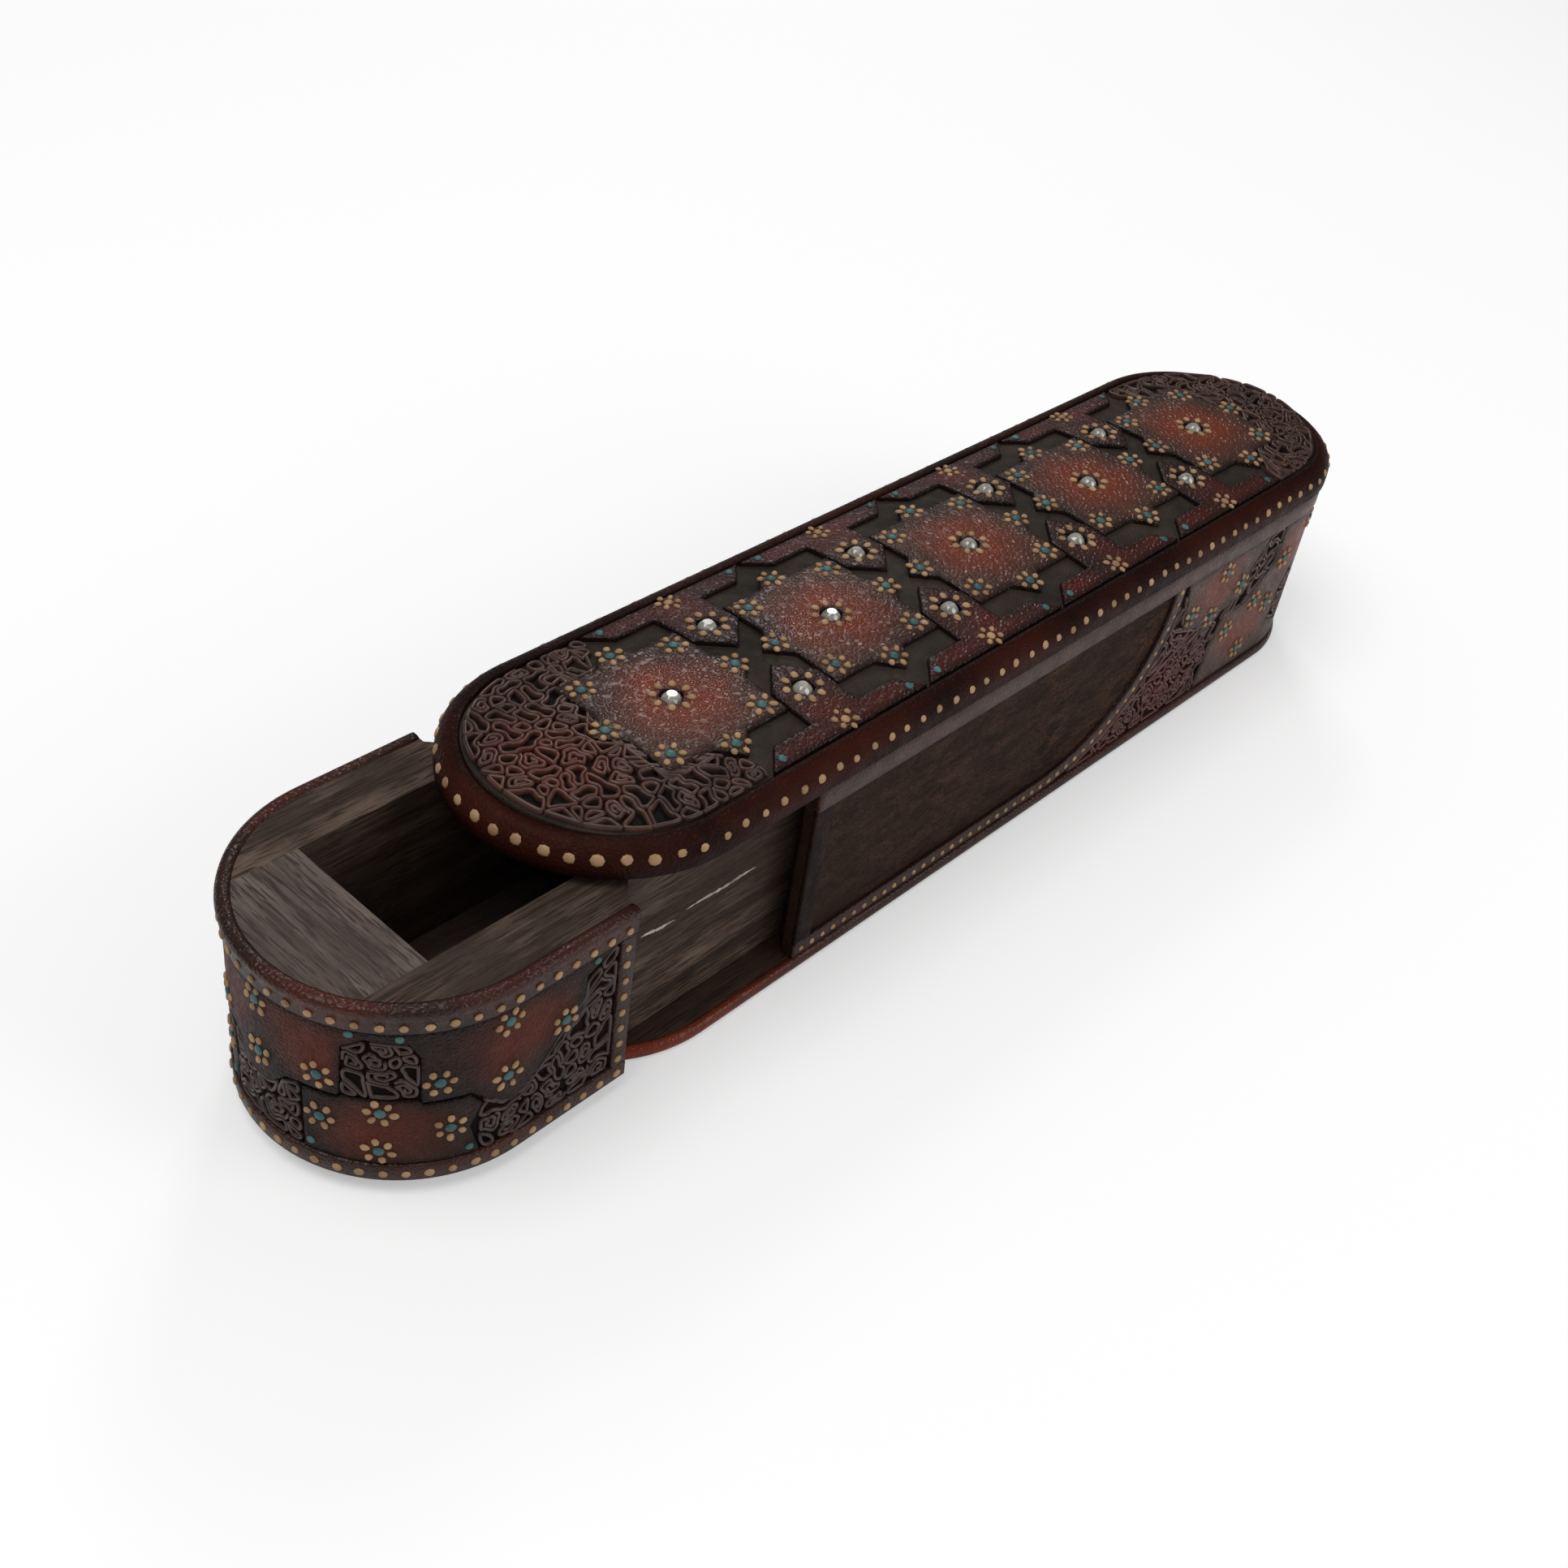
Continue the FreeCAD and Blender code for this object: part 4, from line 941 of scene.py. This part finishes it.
def joined(first, second):
    """Outline of two cells that share an edge, or nothing where that edge is short."""
    edges = {}
    for cell in (first, second):
        for (x0, y0), (x1, y1) in sides_of(cell):
            start = (round(x0, 3), round(y0, 3))
            stop = (round(x1, 3), round(y1, 3))
            if start == stop:
                continue
            if edges.get(stop) == start:
                if math.dist(start, stop) < SHORT_EDGE:
                    return None
                del edges[stop]
            else:
                edges[start] = stop
    outline = [next(iter(edges))]
    while len(outline) <= len(edges):
        following = edges.get(outline[-1])
        if following is None:
            return None
        if following == outline[0]:
            return outline if len(outline) == len(edges) else None
        outline.append(following)
    return None


def held_in(region, x, y, space):
    """The spot itself, or the nearest one that keeps its distance inside the region."""
    away, px, py, dx, dy = nearest_on(region, x, y)
    if is_inside(region, x, y) and away >= space:
        return x, y
    length = math.hypot(dx, dy)
    return px - dy / length * space, py + dx / length * space


def drawn_loop(region, outline):
    """Smooth closed cord inside an outline and inside the region."""
    soft = [held_in(region, x, y, 0.0) for x, y in outline]
    for _ in range(3):
        soft = [
            (share * x0 + (1 - share) * x1, share * y0 + (1 - share) * y1)
            for (x0, y0), (x1, y1) in sides_of(soft) for share in (0.75, 0.25)
        ]
    loop = []
    for k, (x, y) in enumerate(soft):
        xa, ya = soft[k - 1]
        xb, yb = soft[(k + 1) % len(soft)]
        ahead = math.hypot(xb - xa, yb - ya) or 1.0
        inset = CORD_WIDTH * 0.52
        spot = held_in(region, x - (yb - ya) / ahead * inset, y + (xb - xa) / ahead * inset, CORD_WIDTH * 0.5)
        if not loop or math.dist(spot, loop[-1]) > 0.2:
            loop.append(spot)
    return loop


def snail(loop, turns=1.9):
    """Cord that starts along a loop and winds in to its middle."""
    count = len(loop)
    x = sum(px for px, py in loop) / count
    y = sum(py for px, py in loop) / count
    first = chance.randrange(count)
    path = []
    for k in range(int(count * turns)):
        px, py = loop[(first + k) % count]
        keep = 1 - 0.46 * max(0.0, k / count - 0.12)
        path.append((x + (px - x) * keep, y + (py - y) * keep))
    return path


def fill_with_loops(region):
    """Cord paths that fill a region: most loops are two cells long, and some wide ones are snails."""
    region = turned(region, True)
    middles, cells = loop_cells(region)
    free = list(range(len(cells)))
    chance.shuffle(free)
    outlines = []
    while free:
        k = free.pop()
        outline = cells[k]
        wanted = chance.choice((2, 2, 2, 2, 3, 1))
        for other in sorted(free, key=lambda j: math.dist(middles[j], middles[k]))[:5]:
            if wanted > 1 and math.dist(middles[other], middles[k]) < 2.2 * LOOP_SPACE:
                both = joined(outline, cells[other])
                if both:
                    outline = both
                    free.remove(other)
                    wanted -= 1
        outlines.append(outline)
    paths = []
    for outline in outlines:
        loop = drawn_loop(region, outline)
        area = abs(area_of(loop))
        if len(loop) < 8 or area < 0.6:
            continue
        roundness = 4 * math.pi * area / sum(math.dist(a, b) for a, b in sides_of(loop)) ** 2
        paths.append(snail(loop) if area > SNAIL_AREA and roundness > 0.7 else loop + loop[:1])
    return paths


def add_cord(form, path, bottom, top, glow=None):
    """Flat cord standing on edge along a path, its upper edge rounded."""
    closed = math.dist(path[0], path[-1]) < 1e-6
    spots = path[:-1] if closed else path
    count = len(spots)
    tone = chance.random()
    top -= 0.18 * tone
    rows = []
    for k, (x, y) in enumerate(spots):
        xa, ya = spots[k - 1] if closed or k else spots[k]
        xb, yb = spots[(k + 1) % count] if closed or k < count - 1 else spots[k]
        ahead = math.hypot(xb - xa, yb - ya) or 1.0
        nx = -(yb - ya) / ahead * CORD_WIDTH / 2
        ny = (xb - xa) / ahead * CORD_WIDTH / 2
        warm = glow(x, y) if glow else 0.0
        rows.append([
            form.spot(x + nx * share, y + ny * share, bottom if drop < 0 else top - drop, tone, warm)
            for share, drop in CORD_SECTION
        ])
    form.join(rows + rows[:1] if closed else rows, closed=False)
    if not closed:
        form.faces += [tuple(rows[0]), tuple(reversed(rows[-1]))]


def cord_leather(name, deep, light, glow):
    """Cord stained like the panels round it."""
    return toned(name, deep, light, glow, rough=(0.5, 0.34), relief=0.00008, strength=0.6, coat=0.2)


def end_glow(x, y):
    return clamped(0.9 - 0.8 * math.hypot(x - STAR_PLACES[0] + 28, y * 0.9) / 14, 0.65)


quilled = cord_leather("quilled_leather", (50, 31, 25), (96, 66, 55), (104, 48, 32))
for name, region, warmth in (("front", LID_ENDS[0], end_glow), ("rear", LID_ENDS[1], None)):
    filigree = Relief(on_lid)
    for path in fill_with_loops(region):
        add_cord(filigree, path, -PANEL_THICK, 0.0, warmth)
    filigree.finish("lid_curls_" + name, "case", "quilled_leather", quilled, "lid_filigree_" + name)

# Leather of the sleeve's sides and rear: a dark ground sheet, and stained fields cut with stepped edges.
# The fields lie on the ground like the lid's panels, and the rear field runs right round the back.
skin_low, skin_high = in_mm(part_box("rear_leather"))
SKIN_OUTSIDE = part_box("rear_field_leather")[1].y / MM
BOARD_TOP = skin_low.z
BAND_BOTTOM = skin_high.z
GROUND_SINK = 0.6
REAR_RUN = STRAIGHT + TURN / 2
STRAP_START = skin_low.x - FRONT_MIDDLE
STRAP_WIDTH = 3.6
SWEEP_LENGTH = 41.4
SWEEP_RISE = BAND_BOTTOM - BOARD_TOP - STRAP_WIDTH / 2


def on_sleeve(along, level, out):
    """Leather round the sleeve: along the outline from the front right, up, and out."""
    return Vector((*around(along, SKIN_OUTSIDE + out), level))


def sweep_spots(offset, turns=18):
    """Quarter ellipse in which a strap rises, moved off its middle line."""
    return arc_spots(STRAP_START, BAND_BOTTOM, SWEEP_LENGTH + offset, -90, 0, turns, SWEEP_RISE + offset)


def left_of(spots):
    """The same spots on the left side."""
    return [(2 * REAR_RUN - along, level) for along, level in spots]


FIELD_LOW = BOARD_TOP + 0.2
FIELD_HIGH = BAND_BOTTOM - 0.1
STRAP_EDGE = [spot for spot in sweep_spots(STRAP_WIDTH / 2 + 0.1) if spot[1] > FIELD_LOW]
PATCH_EDGE = [(148.6, FIELD_HIGH), (150.4, 33.1), (151.6, 26.4), (160.7, 23.1), (163.6, 19.8)]
RIBBON_UPPER = [(168.6, 25.3), (178.6, 26.7), (178.6, 33.1), (184.3, FIELD_HIGH)]
RIBBON_LOWER = [
    (190.7, FIELD_HIGH), (190.7, 30.3), (180.0, 22.4), (171.4, 21.7), (168.6, 14.6), (166.4, FIELD_LOW),
]
SIDE_LEAF = [(197.0, 11.0), (203.0, 8.6), (207.5, 13.5), (206.5, 20.5), (201.5, 24.6), (197.6, 19.5)]
SIDE_FLOWERS = [
    (165.7, 36.6), (153.9, 29.4), (163.6, 25.3), (175.0, 29.9), (194.7, 29.6), (185.4, 21.0), (174.6, 16.9),
    (192.4, 17.7), (183.9, 7.8), (205.7, 36.4), (218.0, 27.0), (216.0, 12.0), (230.0, 35.0), (230.0, 19.0),
]
REAR_FLOWERS = [(REAR_RUN, 27.0), (REAR_RUN, 11.0)]
SIDE_GLOWS = [(164.0, 34.0), (184.0, 13.5), (201.0, 33.0), (222.0, 19.0), (REAR_RUN, 34.0)]
HOLLOW_GLOWS = [(125.0, 8.0), (150.0, 12.0)]


def glow_round(middles, reach, strength=1.0):
    """Stain that is warmest at its middles."""
    def stain(x, y):
        nearest = min(math.hypot((x - px) * 0.8, y - py) for px, py in middles)
        patch = 0.3 * noise.noise((x * 0.12, y * 0.12, 2.0))
        return clamped(strength * (1.1 - (nearest / reach) ** 1.5 + patch))
    return stain


ground_leather = leather(
    "ground_leather", (15, 10, 9), (28, 18, 15), cells=1500.0, relief=0.00005, gloss=0.7, coat=0.0,
    specular=0.1,
)
side_field_leather = leather(
    "side_field_leather", (64, 40, 33), (98, 68, 57), glow=(126, 54, 34), worn=(30, 18, 15), relief=0.00016,
)
sleeve_ground = Relief(on_sleeve)
add_plate(sleeve_ground, [STRAP_EDGE + left_of(STRAP_EDGE[::-1])], 0.3, top=-GROUND_SINK, bend=0.05, grid=3.0)
sleeve_ground.finish("sleeve_ground", "case", "panel_leather", ground_leather, "rear_leather")

side_stain = glow_round(SIDE_GLOWS + left_of(SIDE_GLOWS), 9.0)
upper_field = PATCH_EDGE + RIBBON_UPPER
rear_field = RIBBON_LOWER[::-1] + left_of(RIBBON_LOWER)
fields = Relief(on_sleeve)
add_plate(fields, [upper_field], GROUND_SINK, glow=side_stain)
add_plate(fields, [left_of(upper_field)], GROUND_SINK, glow=side_stain)
add_plate(fields, [rear_field, SIDE_LEAF, left_of(SIDE_LEAF)], GROUND_SINK, glow=side_stain, grid=1.6)
fields.finish(
    "sleeve_fields", "case", "panel_leather", side_field_leather,
    "side_field_right", "side_field_left", "rear_field_leather",
)

side_cream = Relief(on_sleeve)
side_teal = Relief(on_sleeve)
places = [spot for place in SIDE_FLOWERS for spot in (place, *left_of([place]))]
for place in places + REAR_FLOWERS:
    add_flower(side_cream, side_teal, *place, size=0.95)
side_cream.finish("sleeve_cream_drops", "case", "panel_leather", cream_paint)
side_teal.finish("sleeve_teal_drops", "case", "panel_leather", teal_paint)

# Filigree of the sleeve: the hollow behind each strap, the ribbon that climbs from it to the band,
# and a leaf at each rear corner.
side_quilled = cord_leather("side_quilled_leather", (48, 28, 23), (92, 58, 48), (94, 38, 29))
hollow_stain = glow_round(HOLLOW_GLOWS + left_of(HOLLOW_GLOWS), 15.0, 0.8)
side_region = STRAP_EDGE + PATCH_EDGE + RIBBON_UPPER + RIBBON_LOWER
side_filigree = Relief(on_sleeve)
for region in (side_region, left_of(side_region), SIDE_LEAF, left_of(SIDE_LEAF)):
    for path in fill_with_loops(region):
        add_cord(side_filigree, path, -GROUND_SINK, 0.1, hollow_stain)
side_filigree.finish(
    "sleeve_curls", "case", "quilled_leather", side_quilled, "side_filigree_right", "side_filigree_left",
)

# Edging of the sleeve: a plain band under the lid, a plain upright strip at each front end, and a
# strap with a row of small cream drops that runs along the bottom and sweeps up to the band.
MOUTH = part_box("side_top_band")[0].x / MM - FRONT_MIDDLE
STRIP_WIDTH = 4.6
EDGING_THICK = 0.9
STRAP_DOT_STEP = 3.1
band_leather = leather(
    "band_leather", (56, 34, 27), (84, 54, 44), cells=900.0, relief=0.00008, gloss=0.38,
)
# The upright front strips are the band's leather, painted darker than the band as shade.
shaded_strip_leather = leather(
    "shaded_strip_leather", (26, 13, 10), (42, 22, 17), cells=900.0, relief=0.00008, gloss=0.5, coat=0.0,
    specular=0.12,
)
strap_leather = leather(
    "strap_leather", (54, 28, 22), (82, 45, 36), worn=(36, 20, 17), relief=0.00006, gloss=0.36,
)
BAND_SECTION = [
    (BAND_BOTTOM, -1.6, 0.0), (BAND_BOTTOM, -0.65, 0.5), (BAND_BOTTOM + 0.25, -0.4, 0.5),
    (LID_UNDER - 0.25, -0.4, 0.0), (LID_UNDER, -0.65, 0.0), (LID_UNDER, -1.6, 0.0),
]
ring(
    "top_band", BAND_SECTION, lambda along, level, out: on_boards(along + MOUTH, level, out),
    2 * (REAR_RUN - MOUTH), "case", band_leather, "side_top_band", closed=False,
)
strap_top = BOARD_TOP + STRAP_WIDTH
strap_outline = [(MOUTH, BOARD_TOP)] + sweep_spots(STRAP_WIDTH / 2)
strap_outline += sweep_spots(-STRAP_WIDTH / 2)[::-1] + [(MOUTH, strap_top)]
strip_outline = [
    (MOUTH, strap_top + 0.05), (MOUTH + STRIP_WIDTH, strap_top + 0.05), (MOUTH + STRIP_WIDTH, BAND_BOTTOM),
    (MOUTH, BAND_BOTTOM),
]
for name, placed in (("right", list), ("left", left_of)):
    strip = Relief(on_sleeve)
    add_plate(strip, [placed(strip_outline)], EDGING_THICK)
    strip.finish("front_strip_" + name, "case", "edge_leather", shaded_strip_leather, "side_front_strip_" + name)
    strap = Relief(on_sleeve)
    add_plate(strap, [placed(strap_outline)], EDGING_THICK, grid=0.9)
    strap.finish("strap_" + name, "case", "edge_leather", strap_leather, "side_strap_" + name)


def spots_along(path, step, first):
    """Spots at equal steps along a path."""
    spots = []
    left = first
    for (x0, y0), (x1, y1) in zip(path, path[1:]):
        length = math.hypot(x1 - x0, y1 - y0)
        while left <= length:
            spots.append((x0 + (x1 - x0) * left / length, y0 + (y1 - y0) * left / length))
            left += step
        left -= length
    return spots


strap_line = [(MOUTH, BOARD_TOP + STRAP_WIDTH / 2)] + sweep_spots(0.0, 40)
strap_dots = Relief(on_sleeve)
for place in spots_along(strap_line, STRAP_DOT_STEP, 2.2):
    for along, level in (place, *left_of([place])):
        size = chance.uniform(1.2, 1.5)
        add_drop(strap_dots, along, level, size, size * 0.9, 0.38)
strap_dots.finish("strap_dots", "case", "edge_leather", cream_paint)

# Leather of the drawer's nose: a rolled rim round the top, a foot band, an upright band at each rear
# edge, and stained fields with stepped edges between them, over a dark ground.
nose_low, nose_high = in_mm(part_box("nose_rim_leather"))
NOSE_REAR = nose_high.x
NOSE_MIDDLE = nose_low.x + HALF
NOSE_RUN = NOSE_REAR - NOSE_MIDDLE
NOSE_AROUND = 2 * NOSE_RUN + TURN
NOSE_LOW, NOSE_HIGH = (corner.z for corner in in_mm(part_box("nose_field_leather")))
NOSE_TOP = nose_high.z
NOSE_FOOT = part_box("nose_foot_leather")[0].z / MM
NOSE_WRAP = 2.6
NOSE_GROUND = -1.4
NOSE_FIELD = -0.8
NOSE_BAND = -0.42
CHEEK_WIDTH = 3.4


def on_nose(along, level, out):
    """Round the nose from its right rear edge: along the outline, up, and out."""
    reach = HALF + out
    if along < NOSE_RUN:
        return Vector((NOSE_REAR - along, -reach, level))
    if along < NOSE_RUN + TURN:
        angle = -math.pi / 2 - (along - NOSE_RUN) / HALF
        return Vector((NOSE_MIDDLE + reach * math.cos(angle), reach * math.sin(angle), level))
    return Vector((NOSE_MIDDLE + along - NOSE_RUN - TURN, reach, level))


def far_side(spots):
    """The same spots on the other side of the nose's middle."""
    return [(NOSE_AROUND - along, level) for along, level in spots]


def worn_patches(along, level):
    return clamped(0.2 + 0.9 * noise.noise((along * 0.06, level * 0.1, 7.0)), 0.7)


nose_rim_leather = leather(
    "nose_rim_leather", (38, 22, 18), (66, 42, 34), glow=(92, 40, 27), cells=900.0, gloss=0.36,
)
RIM_SECTION = [
    (NOSE_HIGH, -NOSE_WRAP, 0.0), (NOSE_HIGH, -0.75, 0.5), (NOSE_HIGH + 0.2, NOSE_BAND, 0.5),
    (NOSE_HIGH + 2.8, -0.38, 0.0), (NOSE_HIGH + 3.4, -0.12, 0.0), (NOSE_HIGH + 4.2, 0.0, 0.0),
    (NOSE_TOP - 0.5, -0.2, 0.0), (NOSE_TOP - 0.1, -0.7, 0.0), (NOSE_TOP, -1.3, 0.0),
    (NOSE_TOP - 0.1, -2.0, 0.0), (NOSE_TOP - 0.45, -NOSE_WRAP, 0.0),
]
FOOT_SECTION = [
    (NOSE_FOOT, -NOSE_WRAP, 0.0), (NOSE_FOOT, -0.7, 0.0), (NOSE_FOOT + 0.25, NOSE_BAND, 0.0),
    (NOSE_LOW - 0.25, NOSE_BAND, 0.0), (NOSE_LOW, -0.7, 0.4), (NOSE_LOW, -NOSE_WRAP, 0.0),
]
GROUND_SECTION = [
    (NOSE_LOW, -NOSE_WRAP, 0.0), (NOSE_LOW, NOSE_GROUND, 0.0),
    (NOSE_HIGH, NOSE_GROUND, 0.0), (NOSE_HIGH, -NOSE_WRAP, 0.0),
]
for name, section, slot, finish, glow in (
    ("nose_rim", RIM_SECTION, "edge_leather", nose_rim_leather, worn_patches),
    ("nose_foot", FOOT_SECTION, "edge_leather", nose_rim_leather, worn_patches),
    ("nose_ground", GROUND_SECTION, "panel_leather", ground_leather, None),
):
    ring(name, section, on_nose, NOSE_AROUND, "drawer", finish, name + "_leather", False, slot, glow)
cheek_outline = [(0.0, NOSE_LOW), (CHEEK_WIDTH, NOSE_LOW), (CHEEK_WIDTH, NOSE_HIGH), (0.0, NOSE_HIGH)]
for name, placed in (("nose_cheek_right", list), ("nose_cheek_left", far_side)):
    cheek = Relief(on_nose)
    add_plate(cheek, [placed(cheek_outline)], NOSE_WRAP + NOSE_BAND, top=NOSE_BAND)
    cheek.finish(name, "drawer", "edge_leather", nose_rim_leather, name)

# Fields of the nose, measured round it from the right rear edge: an upper one from cheek to cheek,
# and a lower one at each side of the front, with a knife-cut line between them.
FIELD_FOOT = NOSE_LOW + 0.1
NOSE_CENTRE = NOSE_AROUND / 2
CENTRE_DIP = [(NOSE_CENTRE, 17.4)]
CORNER_EDGE = [
    (3.6, NOSE_HIGH - 0.2), (10.4, 34.4), (11.1, 25.1), (16.1, 24.4), (19.7, 20.1), (25.4, 15.1),
    (31.1, 19.4),
]
CORNER = CORNER_EDGE + [(33.4, 13.7), (31.6, FIELD_FOOT), (3.6, FIELD_FOOT)]
ARCH = [(42.1, 22.8), (42.1, 32.4), (44.0, 35.6), (51.1, 36.2), (54.9, 33.9), (55.4, 22.8)]
MIDDLE_DIP = [(62.6, 22.2), (65.4, 21.6), (68.5, 18.4)]
upper_half = CORNER_EDGE + [(33.7, 21.9), (41.9, 21.9)] + ARCH + [(55.9, 22.3)] + MIDDLE_DIP
upper_nose = upper_half + CENTRE_DIP + far_side(upper_half[::-1])
lower_nose = [
    (31.9, FIELD_FOOT), (33.7, 13.7), (31.6, 18.7), (34.0, 21.4), (41.8, 21.4), (42.6, 22.5), (55.0, 22.5),
    (56.0, 21.8), (62.3, 21.6), (62.3, FIELD_FOOT),
]
middle_half = [(62.7, NOSE_LOW + 0.4)] + MIDDLE_DIP
NOSE_REGIONS = [
    CORNER, far_side(CORNER), ARCH, far_side(ARCH), middle_half + CENTRE_DIP + far_side(middle_half[::-1]),
]
NOSE_GLOWS = [(24.0, 31.0), (60.5, 32.0), (48.0, 15.0)]
nose_field_leather = leather(
    "nose_field_leather", (31, 19, 14), (60, 38, 29), glow=(98, 37, 20), worn=(24, 15, 12), relief=0.00016,
    gloss=0.48, coat=0.06, specular=0.18,
)
nose_stain = glow_round(NOSE_GLOWS + far_side(NOSE_GLOWS), 9.5)
nose_fields = Relief(on_nose)
for outline in (upper_nose, lower_nose, far_side(lower_nose)):
    add_plate(nose_fields, [outline], NOSE_FIELD - NOSE_GROUND, top=NOSE_FIELD, glow=nose_stain, grid=1.0)
nose_fields.finish("nose_fields", "drawer", "panel_leather", nose_field_leather, "nose_field_leather")

nose_quilled = cord_leather("nose_quilled_leather", (40, 25, 21), (76, 53, 46), (80, 36, 27))
nose_filigree = Relief(on_nose)
for region in NOSE_REGIONS:
    for path in fill_with_loops(region):
        add_cord(nose_filigree, path, NOSE_GROUND, NOSE_FIELD + 0.1)
nose_filigree.finish(
    "nose_curls", "drawer", "quilled_leather", nose_quilled, "nose_filigree_sides", "nose_filigree_front",
)

# Painted flowers of the nose, single teal drops, and rows of cream dots along its rim, foot and
# rear edges.
NOSE_FLOWERS = [
    (26.9, 35.2), (39.0, 26.3), (26.9, 22.6), (14.9, 27.4), (48.7, 19.6), (37.2, 15.0), (49.0, 10.4),
    (59.0, 16.2), (59.2, 26.0),
]
MIDDLE_FLOWERS = [(NOSE_CENTRE, 35.2), (NOSE_CENTRE, 23.4)]
NOSE_TEAL = [(53.4, 37.3), (45.4, 37.0), (8.6, 37.0), (60.9, 9.3), (33.9, 9.0)]
NOSE_DOT_STEP = 3.9
END_DOT = 2.1
END_DOTS = 9
FOOT_DOT = NOSE_FOOT + 1.8


def lifted(surface, amount):
    """The same surface, moved out by an amount."""
    return lambda along, level, out: surface(along, level, out + amount)


nose_cream = Relief(lifted(on_nose, NOSE_FIELD))
nose_teal = Relief(lifted(on_nose, NOSE_FIELD))
for place in NOSE_FLOWERS + far_side(NOSE_FLOWERS) + MIDDLE_FLOWERS:
    add_flower(nose_cream, nose_teal, *place)
for along, level in NOSE_TEAL + far_side(NOSE_TEAL):
    add_drop(nose_teal, along, level, 1.6, 1.5, 0.45)
nose_cream.finish("nose_cream_drops", "drawer", "panel_leather", cream_paint)
nose_teal.finish("nose_teal_drops", "drawer", "panel_leather", teal_paint)

nose_dots = Relief(lifted(on_nose, NOSE_BAND))
count = round((NOSE_AROUND - 2 * END_DOT) / NOSE_DOT_STEP)
for k in range(count + 1):
    along = END_DOT + (NOSE_AROUND - 2 * END_DOT) * k / count
    for level in (NOSE_HIGH + 1.5, FOOT_DOT):
        size = chance.uniform(1.5, 1.85)
        add_drop(nose_dots, along + chance.uniform(-0.15, 0.15), level, size, size * 0.92, 0.42, base=-0.03)
for k in range(1, END_DOTS):
    level = FOOT_DOT + (NOSE_HIGH - NOSE_FOOT - 0.3) * k / END_DOTS
    for along in (END_DOT, NOSE_AROUND - END_DOT):
        size = chance.uniform(1.4, 1.7)
        add_drop(nose_dots, along, level, size, size * 0.95, 0.42, base=-0.03)
nose_dots.finish("nose_dots", "drawer", "edge_leather", cream_paint)
